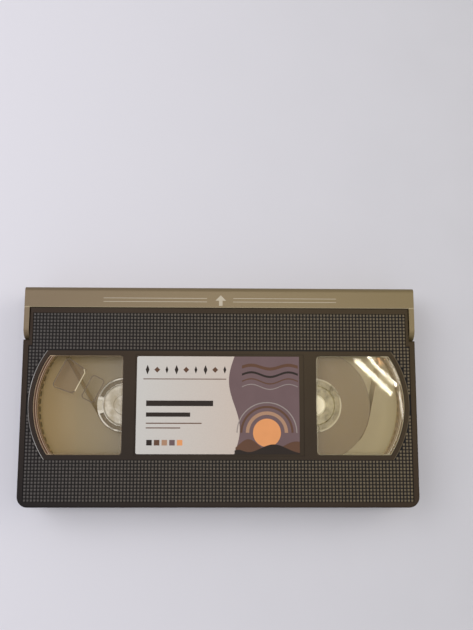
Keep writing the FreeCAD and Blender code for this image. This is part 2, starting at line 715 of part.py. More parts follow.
def build_upper_shell():
    cap = shell_half("cap", (split_height, height), (split_height - PAST, roof_under), height, edge_radius)
    walls = (split_height, roof_under + root_in)
    shelf = box("shelf", (-neck_side, neck_side), (front - door_lip - shelf_back, shell_front),
                (shelf_under, lip_under))
    adds = [cap, shelf] + mouth_walls("upper_mouth", walls)
    lip_line = front - door_lip - fit_gap
    cuts = [box("lip_step", (-side - PAST, side + PAST), (lip_line, front), (lip_under, height + PAST))]
    for number, (x, y) in enumerate(screw_places):
        adds.append(cylinder(f"post_{number}", x, y, walls, boss_radius))
        reach = (split_height - PAST, screw_head_sink + screw_head_height + screw_length + root_in)
        cuts.append(cylinder(f"pilot_{number}", x, y, reach, screw_radius + screw_gap))
    # Seat, stem and staked head for the leaf spring that bears on the reels
    seat = (roof_under - leaf_seat_drop, roof_under + root_in)
    adds.append(cylinder("spring_seat", as_size(0), reel_y, seat, leaf_seat_radius))
    stake = (seat[0] - leaf_thickness - leaf_stake_height, seat[0] - leaf_thickness)
    adds.append(cylinder("spring_stem", as_size(0), reel_y, (stake[0], roof_under), leaf_stem_radius))
    adds.append(cylinder("spring_stake", as_size(0), reel_y, stake, leaf_stake_radius))
    for tag, sign in (("left", -1), ("right", 1)):
        through = (roof_under - PAST, height + PAST)
        cuts.append(window_form(f"window_hole_{tag}", sign, as_size(0), through, window_corner))
    bay = (height - label_bay_depth, height + PAST)
    half = label_bay_height / 2
    cuts.append(box("label_bay", (-label_bay_width / 2, label_bay_width / 2), (reel_y - half, reel_y + half), bay))
    # Grip fields: the whole top but for a smooth border round the windows and the label bay
    grip = (height - grip_depth, height + PAST)
    edge = side - grip_side_margin
    front_edge = neck_side - grip_neck_margin
    grip_front = front - door_lip - grip_front_margin
    step = notch_rear - grip_side_margin
    field = plate("grip_field", [(-edge, rear + grip_rear_margin), (edge, rear + grip_rear_margin), (edge, step),
                                 (front_edge, step), (front_edge, grip_front), (-front_edge, grip_front),
                                 (-front_edge, step), (-edge, step)], grip)
    smooth = [box("smooth_middle", (-reel_x - border, reel_x + border),
                  (reel_y - window_half_height - border, reel_y + window_half_height + border), grip)]
    for tag, sign in (("left", -1), ("right", 1)):
        smooth.append(window_form(f"smooth_{tag}", sign, border, grip, window_corner))
    cuts.append(cut("grip_cut", field, smooth))
    bore_start = neck_side - wall - PAST
    for tag, ends in (("left", (-side, -bore_start)), ("right", (bore_start, side))):
        cuts.append(rod_along_x(f"hinge_bore_{tag}", ends, hinge_y, hinge_z, hinge_pin_radius + pin_gap))
    cuts.append(box("upper_spine_bay", (-spine_bay_width / 2, spine_bay_width / 2),
                    (rear - PAST, rear + spine_bay_depth), (split_height - PAST, height - spine_bay_margin)))
    subpart("upper_shell", cut("upper_shell", fuse("upper_form", adds), cuts))


def build_window(tag, sign):
    """A clear pane with a bevelled top and a lip that seats under the roof."""
    top = height - window_inset
    lip = (roof_under - window_lip_thickness, roof_under)
    pane = window_form(f"pane_{tag}", sign, -window_gap, (roof_under, top - window_bevel), window_corner)
    flange = window_form(f"pane_lip_{tag}", sign, window_lip, lip, window_corner)
    crown = window_form(f"pane_top_{tag}", sign, -window_gap, (top - 2 * window_bevel, top), window_corner)
    doc.recompute()
    bevelled = doc.addObject("Part::Chamfer", f"pane_bevel_{tag}")
    bevelled.Base = crown
    rim = [i + 1 for i, e in enumerate(crown.Shape.Edges)
           if abs(e.BoundBox.ZMin - top.value) < 1e-4 and abs(e.BoundBox.ZMax - top.value) < 1e-4]
    bevelled.Edges = [(i, window_bevel.value, window_bevel.value) for i in rim]
    subpart(f"window_{tag}", fuse(f"window_{tag}", [pane, flange, bevelled]))


def build_label():
    low = height - label_bay_depth
    half = label_height / 2
    left = -label_width / 2 - label_shift
    right = label_width / 2 - label_shift
    corners = [(left, reel_y - half, label_corner), (right, reel_y - half, label_corner),
               (right, reel_y + half, label_corner), (left, reel_y + half, label_corner)]
    subpart("face_label", plate("face_label", corners, (low, low + label_thickness)))


def build_door():
    back = front - door_wall
    lip_rear = front - door_lip
    foot = door_clear_floor
    lip_under_face = height - door_lip_thickness
    panel = side_plate("door_panel", [(lip_rear, lip_under_face), (back, lip_under_face), (back, foot),
                                      (front, foot, door_edge_round), (front, height, door_front_round),
                                      (lip_rear, height, door_edge_round)], (-side, side))
    tail = front - arm_length
    under = height - arm_drop
    arm = [(tail, under, arm_round), (hinge_y + arm_knee, under, arm_knee_round),
           (front - arm_foot, foot, arm_foot_round), (front, foot, door_edge_round),
           (front, height, door_front_round), (tail, height, arm_round)]
    left = side_plate("door_arm_left", arm, (-side, arm_thickness - side))
    right = side_plate("door_arm_right", arm, (side - arm_thickness, side))
    reach_left = (root_in - side, hinge_spring_pin - neck_side)
    pin_left = rod_along_x("door_pin_left", reach_left, hinge_y, hinge_z, hinge_pin_radius)
    reach_right = (neck_side - wall - seat_gap, side - root_in)
    pin_right = rod_along_x("door_pin_right", reach_right, hinge_y, hinge_z, hinge_pin_radius)
    button = lock_y + lock_reach
    relief = box("door_lock_relief", (neck_side, side + PAST),
                 (button - lock_button_length - lock_relief_gap, button + lock_relief_gap),
                 (as_size(-PAST), floor_skin + lock_lift + lock_button_height + lock_relief_gap))
    form = fuse("door_form", [panel, left, right, pin_left, pin_right])
    subpart("front_door", cut("front_door", form, [relief]))


def sector(inner, outer, start, end, steps):
    """Corners of a part of a ring between two angles in degrees."""
    angles = [math.radians(start + (end - start) * i / steps) for i in range(steps + 1)]
    return ([(outer * math.cos(a), outer * math.sin(a)) for a in angles]
            + [(inner * math.cos(a), inner * math.sin(a)) for a in reversed(angles)])


def build_reel(node, sign):
    """A hub and lower flange moulded in one, with a toothed rim and a splined socket."""
    rim = flange_radius - tooth_depth
    foot = hub_foot
    roof = foot + spindle_depth
    profile = [(spindle_radius, foot), (hub_radius, foot), (hub_radius, flange_under), (rim, flange_under),
               (rim, flange_top), (hub_radius, flange_top), (hub_radius, hub_top), (crown_radius, hub_top),
               (crown_radius, crown_top - crown_bevel), (crown_radius - crown_bevel, crown_top),
               (button_radius, crown_top), (button_radius, button_top - button_bevel),
               (button_radius - button_bevel, button_top), (0, button_top), (0, roof), (spindle_radius, roof)]
    body = turned(node, profile, sign * reel_x, reel_y)
    tooth = outline(new_sketch(body, f"{node}_tooth", "XY_Plane", flange_under), [
        (rim - root_in, -tooth_root_width / 2), (flange_radius, -tooth_tip_width / 2),
        (flange_radius, tooth_tip_width / 2), (rim - root_in, tooth_root_width / 2)])
    first = pad(body, tooth, flange_thickness, f"{node}_tooth_pad")
    ring_pattern(body, first, rim_teeth, f"{node}_teeth")
    near = spindle_radius - root_in
    far = spindle_radius + spline_depth
    slot = outline(new_sketch(body, f"{node}_spline", "XY_Plane", foot - root_in), [
        (-spline_width / 2, near), (spline_width / 2, near), (spline_width / 2, far), (-spline_width / 2, far)])
    groove = pocket_up(body, slot, spindle_depth + root_in, f"{node}_spline_cut")
    ring_pattern(body, groove, spline_count, f"{node}_splines")
    # Pocket in the hub's wall that holds the leader clamp
    reach = hub_radius - clamp_depth
    half = clamp_width / 2
    seat = outline(new_sketch(body, f"{node}_clamp_seat", "XY_Plane", flange_top), [
        (-hub_radius - PAST, -half), (-reach, -half), (-reach, half), (-hub_radius - PAST, half)])
    pocket_up(body, seat, hub_top - flange_top + HAIR, f"{node}_clamp_bay")
    # Shallow arcs sunk into the hub's top, clear of the clamp
    bow = sector(hub_pocket_inner, hub_pocket_outer, 200, 280, 5)
    arc = outline(new_sketch(body, f"{node}_hub_arc", "XY_Plane", hub_top - hub_pocket_depth), bow)
    sink = pocket_up(body, arc, hub_pocket_depth + HAIR, f"{node}_hub_arc_cut")
    ring_pattern(body, sink, panel_count, f"{node}_hub_arcs")
    subpart(node, body)


def build_upper_flange(node, sign):
    """A clear disc with raised radial panels that stiffen it."""
    bore = crown_radius + seat_gap
    rim = flange_radius - upper_flange_inset
    body = turned(node, [(bore, hub_top), (rim, hub_top), (rim, upper_flange_top), (bore, upper_flange_top)],
                  sign * reel_x, reel_y)
    body.Placement.Rotation = FreeCAD.Rotation(Vector(0, 0, 1), PANEL_TURN)
    for name, near, far, narrow, wide in (
            ("outer", outer_panel_near, outer_panel_far, outer_panel_narrow / 2, outer_panel_wide / 2),
            ("inner", inner_panel_near, inner_panel_far, inner_panel_width / 2, inner_panel_width / 2)):
        foot = upper_flange_top - panel_rise
        sketch = outline(new_sketch(body, f"{node}_{name}_panel", "XY_Plane", foot), [
            (-far, -wide), (-near, -narrow), (-near, narrow), (-far, wide)])
        raised = pad(body, sketch, 2 * panel_rise, f"{node}_{name}_pad")
        ring_pattern(body, raised, panel_count, f"{node}_{name}_panels")
    subpart(node, body)


def build_clamp(node, sign):
    """The wedge that pins the leader into the hub."""
    z = (flange_top + seat_gap, hub_top - seat_gap)
    half = clamp_width / 2 - seat_gap
    at = sign * reel_x
    drum = cylinder(f"{node}_drum", at, reel_y, z, hub_radius - seat_gap / 2)
    block = box(f"{node}_block", (at - hub_radius, at - hub_radius + clamp_depth - seat_gap),
                (reel_y - half, reel_y + half), z)
    subpart(node, common(node, drum, block))


def build_tape_pack():
    subpart("tape_pack", turned("tape_pack", [(hub_radius + seat_gap, tape_low), (pack_radius, tape_low),
                                              (pack_radius, tape_high), (hub_radius + seat_gap, tape_high)],
                                reel_x, reel_y))


def tangent_angle(first, second, first_radius, second_radius):
    """The angle of the point where a band leaves one drum for the next, both on its left."""
    span = second - first
    lean = math.asin((first_radius - second_radius) / span.Length)
    return math.atan2(span.y, span.x) + math.pi / 2 - lean


def polar(centre, radius, angle):
    return centre + Vector(math.cos(angle), math.sin(angle), 0) * radius


def band_edges(stops, extra, backwards):
    """Lines and arcs of a band that passes over the outside of each drum in turn."""
    angles = []
    for (c0, r0), (c1, r1) in zip(stops, stops[1:]):
        angles.append(tangent_angle(c0, c1, r0 + extra, r1 + extra))
    edges = []
    lead_in = math.radians(300)
    run_out = math.radians(25)
    starts = [angles[0] + lead_in] + angles
    ends = angles + [angles[-1] - run_out]
    for i, (centre, radius) in enumerate(stops):
        reach = radius + extra
        start = starts[i]
        end = ends[i]
        while end > start:
            end -= 2 * math.pi
        middle = (start + end) / 2
        edges.append(Part.Arc(polar(centre, reach, start), polar(centre, reach, middle),
                              polar(centre, reach, end)).toShape())
        if i + 1 < len(stops):
            next_centre, next_radius = stops[i + 1]
            edges.append(Part.makeLine(polar(centre, reach, end), polar(next_centre, next_radius + extra, end)))
    return list(reversed(edges)) if backwards else edges


def build_tape_run():
    """The tape between the reels: from the bare hub, over the roller and posts, to the pack."""
    gap = ribbon_gap.value
    stops = [
        (Vector(-reel_x.value, reel_y.value, 0), hub_radius.value + gap),
        (Vector(-roller_x.value, roller_y.value, 0), roller_radius.value + gap),
        (Vector(-guide_post_x.value, guide_post_y.value, 0), guide_post_radius.value + gap / 2),
        (Vector(guide_post_x.value, guide_post_y.value, 0), guide_post_radius.value + gap / 2),
        (Vector(reel_x.value, reel_y.value, 0), pack_radius.value + gap),
    ]
    near = band_edges(stops, 0, False)
    far = band_edges(stops, ribbon.value, True)
    first = Part.makeLine(far[-1].Vertexes[0].Point, near[0].Vertexes[0].Point)
    last = Part.makeLine(near[-1].Vertexes[-1].Point, far[0].Vertexes[-1].Point)
    loop = Part.Wire(Part.__sortEdges__(near + [last] + far + [first]))
    item = doc.addObject("Part::Feature", "tape_run")
    item.Shape = Part.Face(loop).extrude(Vector(0, 0, tape_width.value))
    item.Placement = FreeCAD.Placement(Vector(0, 0, tape_low.value), FreeCAD.Rotation())
    subpart("tape_run", item)


def build_guides():
    low = floor_skin
    for tag, sign in (("left", -1), ("right", 1)):
        subpart(f"guide_post_{tag}", cylinder(f"guide_post_{tag}", sign * guide_post_x, guide_post_y,
                                              (low, shelf_under), guide_post_radius))
    subpart("guide_roller_pin", cylinder("guide_roller_pin", -roller_x, roller_y, (low, shelf_under),
                                         roller_pin_radius))
    bore = roller_pin_radius + pin_gap
    waist = roller_radius - roller_groove
    ends = (tape_low - roller_overrun, tape_high + roller_overrun)
    lips = (tape_low + roller_lip, tape_high - roller_lip)
    profile = [(bore, ends[0]), (roller_radius, ends[0]), (roller_radius, lips[0]), (waist, lips[0]),
               (waist, lips[1]), (roller_radius, lips[1]), (roller_radius, ends[1]), (bore, ends[1])]
    subpart("guide_roller", turned("guide_roller", profile, -roller_x, roller_y))
    # Thin flap that bears lightly on the tape at the roller
    wall_x = wall - neck_side + HAIR
    root_y = roller_y - flap_length
    tip_x = -roller_x - roller_radius - ribbon_gap - ribbon - fit_gap
    bend_y = roller_y - root_in
    tip_y = bend_y + flap_foot
    flap = [(wall_x, root_y), (wall_x + flap_thickness, root_y), (tip_x, bend_y), (tip_x, tip_y),
            (tip_x - flap_thickness, tip_y), (tip_x - flap_thickness, bend_y)]
    subpart("tape_pressure_flap", plate("tape_pressure_flap", flap,
                                        (tape_low + flap_margin, tape_high - flap_margin)))


def build_screws():
    """Five self-tapping screws with a cross recess, all alike."""
    items = []
    head = (screw_head_sink, screw_head_sink + screw_head_height - fit_gap)
    recess = (screw_head_sink - PAST, screw_head_sink + screw_cross_depth)
    half = screw_cross_width / 2
    reach = screw_cross_reach
    for number, (x, y) in enumerate(screw_places):
        form = [cylinder(f"screw_head_{number}", x, y, head, screw_head_radius),
                cylinder(f"screw_shank_{number}", x, y, (head[0], head[1] + screw_length), screw_radius)]
        cross = [box(f"screw_cross_{number}_a", (x - reach, x + reach), (y - half, y + half), recess),
                 box(f"screw_cross_{number}_b", (x - half, x + half), (y - reach, y + reach), recess)]
        items.append(cut(f"screw_{number}", fuse(f"screw_form_{number}", form), cross))
    group = doc.addObject("Part::Compound", "shell_screws")
    group.Links = items
    subpart("shell_screws", group)


def build_reel_spring():
    """A leaf spring under the roof whose two ends bear on the reel buttons."""
    body = new_body("reel_spring")
    flat = roof_under - leaf_seat_drop
    flat_low = flat - leaf_thickness
    tip = button_top + fit_gap
    tip_high = tip + leaf_thickness
    end = reel_x - root_in
    knee = end - leaf_foot
    bend = leaf_bend
    sketch = outline(new_sketch(body, "reel_spring_profile", "XZ_Plane", -leaf_width / 2), [
        (-end, tip), (-knee, tip), (-bend, flat_low), (bend, flat_low), (knee, tip), (end, tip),
        (end, tip_high), (knee, tip_high), (bend, flat), (-bend, flat), (-knee, tip_high), (-end, tip_high)])
    pad(body, sketch, leaf_width, "reel_spring_pad")
    hole = new_sketch(body, "reel_spring_hole", "XY_Plane", flat_low - PAST)
    circle = hole.addGeometry(Part.Circle(Vector(0, 0, 0), Vector(0, 0, 1), leaf_hole_radius.value), False)
    hole.addConstraint(Sketcher.Constraint("Coincident", circle, 3, -1, 1))
    constrain(hole, Sketcher.Constraint("Radius", circle, leaf_hole_radius.value), leaf_hole_radius)
    pocket_up(body, hole, leaf_thickness + 2 * PAST, "reel_spring_hole_cut")
    place(body, 0, reel_y)
    subpart("reel_spring", body)


def build_pawl(node, sign):
    """A brake pawl: its toe sits between two rim teeth, its tail meets the release lever."""
    low = floor_skin + pawl_lift
    angle = math.radians(pawl_angle.value)
    out = (math.cos(angle), -math.sin(angle))
    along = (math.sin(angle), math.cos(angle))

    def rim_point(past_root, aside):
        reach = flange_radius - tooth_depth + past_root
        x = -reel_x + reach * out[0] + aside * along[0]
        y = reel_y + reach * out[1] + aside * along[1]
        return (x, y)

    x0 = -pawl_pivot_x
    tail = release_width / 2
    tip = pawl_toe_tip / 2
    toe = pawl_toe_root / 2
    toe_back = pawl_toe_gap + pawl_toe_length
    tail_y = (pawl_y + pawl_tail_near, pawl_y + pawl_tail_far)
    corners = [(x0 - pawl_flank_x, pawl_y + pawl_flank_y), rim_point(toe_back, -toe),
               rim_point(pawl_toe_gap, -tip), rim_point(pawl_toe_gap, tip), rim_point(toe_back, toe),
               rim_point(pawl_heel_back, pawl_heel_aside), (x0 + pawl_shoulder_x, pawl_y + pawl_shoulder_y),
               (-tail, tail_y[1]), (-tail, tail_y[0]), (x0 + pawl_back_x, pawl_y - pawl_back_y)]
    if sign > 0:
        corners = [(-x, y) for x, y in reversed(corners)]
    arm = plate(f"{node}_arm", corners, (low, low + pawl_thickness))
    at = sign * pawl_pivot_x
    fin_x = sorted((sign * tail, sign * (tail + pawl_fin_length)), key=lambda s: s.value)
    fin = box(f"{node}_fin", fin_x, tail_y, (low, low + pawl_fin_height))
    hub = cylinder(f"{node}_hub", at, pawl_y, (low, low + pawl_thickness), pawl_hub_radius)
    bore = cylinder(f"{node}_bore", at, pawl_y, (low - PAST, low + 2 * pawl_thickness), pawl_post_radius + pin_gap)
    subpart(node, cut(node, fuse(f"{node}_form", [arm, hub, fin]), [bore]))


def build_release():
    """The lever over the floor's hole: pushed up at its foot, its nose drives both tails back."""
    z0 = release_pivot_height
    y0 = release_y
    nose = pawl_y + pawl_tail_far + fit_gap
    top = z0 + release_reach + release_head_rise
    head = top - release_head_height
    foot = (z0 - release_drop, z0 - release_drop + release_foot_height)
    neck = y0 - release_neck
    cheek = z0 + release_cheek
    half = release_width / 2
    corners = [(y0 - release_back, foot[1]), (y0 + release_foot_near, foot[0]), (y0 + release_foot_far, foot[0]),
               (y0 + release_foot_far, foot[1]), (y0 + release_cheek, cheek), (neck, head), (neck, top),
               (nose, top), (nose, head), (y0 - release_cheek, cheek)]
    plate_form = side_plate("release_plate", corners, (-half, half))
    bar = box("release_bar", (-half - release_bar_reach, half + release_bar_reach), (nose, neck),
              (top - release_bar_height, top))
    pin = rod_along_x("release_pin", (-half - release_pin_reach, half + release_pin_reach), y0, z0,
                      release_pin_radius)
    subpart("brake_release_lever", fuse("brake_release_lever", [plate_form, bar, pin]))


def build_lock():
    """The catch at the right that a machine presses from the side before the door can lift."""
    low = floor_skin + lock_lift
    z = (low, low + lock_height)
    tip = lock_y + lock_reach
    inner = lock_x - lock_bar / 2
    outer = lock_x + lock_bar / 2
    reach = neck_side - seat_gap
    form = [plate("lock_bar_form", [(inner, lock_y), (outer, lock_y), (outer, tip), (inner, tip)], z),
            cylinder("lock_hub", lock_x, lock_y, z, lock_hub_radius),
            plate("lock_button", [(inner, tip - lock_button_length),
                                  (reach, tip - lock_button_length, lock_button_round),
                                  (reach, tip, lock_button_round), (inner, tip)], (low, low + lock_button_height))]
    bore = cylinder("lock_bore", lock_x, lock_y, (low - PAST, low + 2 * lock_height), lock_post_radius + pin_gap)
    subpart("door_lock", cut("door_lock", fuse("door_lock_form", form), [bore]))


def build_coil(node, x, y, z, radius, axis, legs):
    """A torsion spring: a short helix of wire with a straight leg at each end."""
    rise = coil_pitch.value * coil_turns.value
    wire = wire_radius.value
    helix = Part.makeHelix(coil_pitch.value, rise, radius.value)
    quarter = math.pi / 2
    section = Part.makePolygon([Vector(radius.value + wire * math.cos(i * quarter), 0, wire * math.sin(i * quarter))
                                for i in range(5)])
    coil = Part.Wire(helix).makePipeShell([section], True, True)
    leg_down = Part.Face(section).extrude(Vector(0, -legs.value, 0))
    leg_up = Part.Face(section).extrude(Vector(0, legs.value, 0))
    leg_up.translate(Vector(0, 0, rise))
    item = doc.addObject("Part::Feature", node)
    item.Shape = coil.fuse([leg_up, leg_down])
    item.Placement = FreeCAD.Placement(Vector(x.value, y.value, z.value), FreeCAD.Rotation(Vector(0, 0, 1), axis))
    subpart(node, item)


def build_springs():
    clear = wire_radius + fit_gap
    upright = Vector(0, 0, 1)
    build_coil("door_spring", wall + door_coil_inset - neck_side, hinge_y, hinge_z, hinge_pin_radius + clear,
               Vector(1, 0, 0), door_coil_leg)
    build_coil("door_lock_spring", lock_x, lock_y, floor_skin + lock_lift + lock_height + clear,
               lock_post_radius + clear, upright, coil_leg)
    for tag, sign in (("left", -1), ("right", 1)):
        build_coil(f"brake_spring_{tag}", sign * pawl_pivot_x, pawl_y,
                   floor_skin + pawl_lift + pawl_thickness + clear, pawl_post_radius + clear, upright, coil_leg)


def check_and_write():
    doc.recompute()
    faults = [item.Label for item in doc.Objects if {"Invalid", "Error"} & set(item.State)]
    if faults:
        raise RuntimeError(f"failed features: {faults}")
    for node, item in subparts.items():
        shape = item.Shape
        if shape.isNull() or not shape.isValid() or not shape.Solids:
            raise RuntimeError(f"no sound solid: {node}")
        shape.exportStep(f"parts/{node}.step")
        print(node, len(shape.Solids), "solids", round(shape.Volume, 1), "mm3")


build_lower_shell()
build_upper_shell()
build_window("left", -1)
build_window("right", 1)
build_label()
build_door()
for reel, reel_side in (("supply", -1), ("takeup", 1)):
    build_reel(f"{reel}_reel", reel_side)
    build_upper_flange(f"{reel}_upper_flange", reel_side)
    build_clamp(f"{reel}_leader_clamp", reel_side)
build_tape_pack()
build_tape_run()
build_guides()
build_screws()
build_reel_spring()
build_pawl("brake_pawl_left", -1)
build_pawl("brake_pawl_right", 1)
build_release()
build_lock()
build_springs()
check_and_write()
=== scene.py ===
import math

import bmesh
import bpy
from mathutils import Matrix, Vector


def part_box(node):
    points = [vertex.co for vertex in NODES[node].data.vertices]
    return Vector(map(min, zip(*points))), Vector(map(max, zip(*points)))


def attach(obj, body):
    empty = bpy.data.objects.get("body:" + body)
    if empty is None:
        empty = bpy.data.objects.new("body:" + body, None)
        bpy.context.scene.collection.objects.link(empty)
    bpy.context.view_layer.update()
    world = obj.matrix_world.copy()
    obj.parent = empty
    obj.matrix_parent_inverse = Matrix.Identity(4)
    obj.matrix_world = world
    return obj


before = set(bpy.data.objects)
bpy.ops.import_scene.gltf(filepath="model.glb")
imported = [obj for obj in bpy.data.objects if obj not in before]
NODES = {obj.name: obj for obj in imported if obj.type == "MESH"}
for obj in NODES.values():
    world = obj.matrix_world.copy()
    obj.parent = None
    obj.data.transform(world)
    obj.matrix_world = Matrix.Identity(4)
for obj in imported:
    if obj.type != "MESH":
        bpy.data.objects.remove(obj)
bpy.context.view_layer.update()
MM = 0.001

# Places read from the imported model, in metres
SHELL_LOW, SHELL_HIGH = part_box("upper_shell")
DOOR_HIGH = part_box("front_door")[1]
LABEL_LOW, LABEL_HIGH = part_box("face_label")
WINDOW_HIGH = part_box("window_right")[1]
FLANGE_LOW, FLANGE_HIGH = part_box("takeup_upper_flange")
REEL_LOW, REEL_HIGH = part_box("takeup_reel")
HUB_TOP = FLANGE_LOW.z
PACK_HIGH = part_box("tape_pack")[1]
REEL_X = (REEL_LOW.x + REEL_HIGH.x) / 2
REEL_Y = (REEL_LOW.y + REEL_HIGH.y) / 2
TOP = SHELL_HIGH.z
SIDE = SHELL_HIGH.x
REAR = SHELL_LOW.y
FRONT = DOOR_HIGH.y

# The grip field, as the shell's recess holds it
GRIP_DEPTH = 0.35 * MM
STUD_PITCH_X = 1.60 * MM
STUD_PITCH_Y = 1.617 * MM
STUD_FIRST_ROW = 3.22 * MM
GRIP_SIDE_MARGIN = 2.7 * MM
GRIP_NECK_MARGIN = 1.6 * MM
GRIP_REAR_MARGIN = 2.5 * MM
GRIP_FRONT_MARGIN = 2.7 * MM
STUD_KEEP = 0.70 * MM
STUD_CLIP = 0.25 * MM

# Door, windows and reels, as the part's own sizes put them
DOOR_LIP = 10.0 * MM
ARM_SPACE = 2.8 * MM
ARM_LENGTH = 25.7 * MM
WINDOW_RADIUS = 42.3 * MM
WINDOW_HALF = 23.5 * MM
BORDER = 2.1 * MM
FLANGE_RADIUS = 44.5 * MM
HUB_RADIUS = 13.0 * MM
CROWN_RADIUS = 9.7 * MM
BUTTON_RADIUS = 4.9 * MM
PANEL_TURNS = (153, 273, 33)
PANEL_INNER = 24 * MM
PANEL_OUTER = 35 * MM
PANEL_HALF = 6.9 * MM


def linear(level):
    """One sRGB channel, 0 to 255, as scene-linear."""
    c = level / 255.0
    return c / 12.92 if c <= 0.04045 else ((c + 0.055) / 1.055) ** 2.4


def tone(red, green, blue):
    return (linear(red), linear(green), linear(blue), 1.0)


def shade(colour, share):
    """The same colour, darker by the given share."""
    return tuple(c * share for c in colour[:3]) + (1.0,)


class Shader:
    """A small helper round one material's node tree."""

    def __init__(self, name):
        self.material = bpy.data.materials.new(name)
        self.material.use_nodes = True
        self.tree = self.material.node_tree
        self.bsdf = self.tree.nodes["Principled BSDF"]
        self.place = self.tree.nodes.new("ShaderNodeTexCoord").outputs["Object"]
        split = self.tree.nodes.new("ShaderNodeSeparateXYZ")
        self.link(self.place, split.inputs[0])
        self.x, self.y, self.z = split.outputs

    def link(self, source, target):
        self.tree.links.new(source, target)

    def set(self, **values):
        for key, value in values.items():
            self.bsdf.inputs[key.replace("_", " ")].default_value = value
        return self

    def math(self, operation, first, second=0.0):
        node = self.tree.nodes.new("ShaderNodeMath")
        node.operation = operation
        for socket, value in zip(node.inputs, (first, second)):
            if isinstance(value, (int, float)):
                socket.default_value = value
            else:
                self.link(value, socket)
        return node.outputs[0]

    def noise(self, scale, detail=3.0, stretch=None):
        node = self.tree.nodes.new("ShaderNodeTexNoise")
        node.inputs["Scale"].default_value = scale
        node.inputs["Detail"].default_value = detail
        source = self.place
        if stretch:
            mapping = self.tree.nodes.new("ShaderNodeMapping")
            mapping.inputs["Scale"].default_value = stretch
            self.link(source, mapping.inputs["Vector"])
            source = mapping.outputs["Vector"]
        self.link(source, node.inputs["Vector"])
        return node.outputs["Fac"]

    def ramp(self, value, low, high):
        """0 under low, 1 over high."""
        node = self.tree.nodes.new("ShaderNodeMapRange")
        self.link(value, node.inputs["Value"])
        node.inputs["From Min"].default_value = low
        node.inputs["From Max"].default_value = high
        return node.outputs["Result"]

    def mix(self, factor, first, second):
        node = self.tree.nodes.new("ShaderNodeMix")
        node.data_type = "RGBA"
        sockets = [s for s in node.inputs if s.type == "RGBA"]
        self.link(factor, node.inputs["Factor"])
        for socket, value in zip(sockets, (first, second)):
            if isinstance(value, tuple):
                socket.default_value = value
            else:
                self.link(value, socket)
        return [s for s in node.outputs if s.type == "RGBA"][0]

    def colour(self, value):
        self.link(value, self.bsdf.inputs["Base Color"])
        return self

    def rough(self, value, low, high):
        node = self.tree.nodes.new("ShaderNodeMapRange")
        self.link(value, node.inputs["Value"])
        node.inputs["To Min"].default_value = low
        node.inputs["To Max"].default_value = high
        self.link(node.outputs["Result"], self.bsdf.inputs["Roughness"])
        return self

    def bump(self, height, strength, distance):
        node = self.tree.nodes.new("ShaderNodeBump")
        node.inputs["Strength"].default_value = strength
        node.inputs["Distance"].default_value = distance
        self.link(height, node.inputs["Height"])
        self.link(node.outputs["Normal"], self.bsdf.inputs["Normal"])
        return self

    def within(self, value, low, high):
        """1 where value lies between low and high."""
        above = self.math("GREATER_THAN", value, low)
        below = self.math("LESS_THAN", value, high)
        return self.math("MULTIPLY", above, below)

    def radius(self, centre_x, centre_y):
        dx = self.math("SUBTRACT", self.x, centre_x)
        dy = self.math("SUBTRACT", self.y, centre_y)
        squares = self.math("ADD", self.math("MULTIPLY", dx, dx), self.math("MULTIPLY", dy, dy))
        return self.math("SQRT", squares)

    def pass_light(self):
        """Clear plastic that throws no shade on what lies under it."""
        clear = self.tree.nodes.new("ShaderNodeBsdfTransparent")
        path = self.tree.nodes.new("ShaderNodeLightPath")
        blend = self.tree.nodes.new("ShaderNodeMixShader")
        self.link(path.outputs["Is Shadow Ray"], blend.inputs[0])
        self.link(self.bsdf.outputs[0], blend.inputs[1])
        self.link(clear.outputs[0], blend.inputs[2])
        self.link(blend.outputs[0], self.tree.nodes["Material Output"].inputs["Surface"])
        return self

    def slope(self):
        """1 on faces that look straight up, less on slanting ones."""
        geometry = self.tree.nodes.new("ShaderNodeNewGeometry")
        split = self.tree.nodes.new("ShaderNodeSeparateXYZ")
        self.link(geometry.outputs["True Normal"], split.inputs[0])
        return split.outputs[2]


def shell_material():
    """Warm black moulding with a fine spark grain, painted light and shade across its top, and painted
    shade in the floor of the grip field.
    """
    s = Shader("shell_satin_black")
    grain = s.noise(2600, 2)
    cloud = s.noise(38, 4)
    # Painted light and shade: darker towards the rear and the left, warmer towards the right
    across = s.ramp(s.x, -SIDE, SIDE)
    ahead = s.ramp(s.y, REAR, 0.3 * FRONT)
    front = s.mix(across, tone(52, 41, 33), tone(64, 53, 34))
    back = s.mix(across, tone(25, 23, 25), tone(54, 43, 32))
    base = s.mix(ahead, back, front)
    base = s.mix(s.math("MULTIPLY", cloud, 0.35), base, tone(34, 27, 23))
    # Painted highlight along the border's outer edge round the windows, strong on the left and faint on
    # the right
    top = s.math("GREATER_THAN", s.z, TOP - 0.08 * MM)
    edge = WINDOW_RADIUS + BORDER
    for centre, edge_highlight in ((-REEL_X, tone(184, 182, 182)), (REEL_X, tone(96, 86, 68))):
        ring = s.within(s.radius(centre, REEL_Y), edge - 0.28 * MM, edge + 0.02 * MM)
        outward = s.math("MULTIPLY", s.x, math.copysign(1, centre))
        beyond = s.math("GREATER_THAN", outward, REEL_X + 20 * MM)
        patchy = s.math("MULTIPLY", top, s.ramp(cloud, 0.25, 0.6))
        line = s.math("MULTIPLY", s.math("MULTIPLY", ring, beyond), patchy)
        base = s.mix(line, base, edge_highlight)
    # Painted shade in the floor of the grip field between the studs
    field = s.within(s.z, TOP - GRIP_DEPTH - 0.04 * MM, TOP - GRIP_DEPTH + 0.04 * MM)
    s.colour(s.mix(field, base, tone(16, 14, 14)))
    s.rough(cloud, 0.42, 0.58)
    s.bump(grain, 0.25, 0.00006)
    s.set(IOR=1.5, Specular_IOR_Level=0.1)
    return s.material


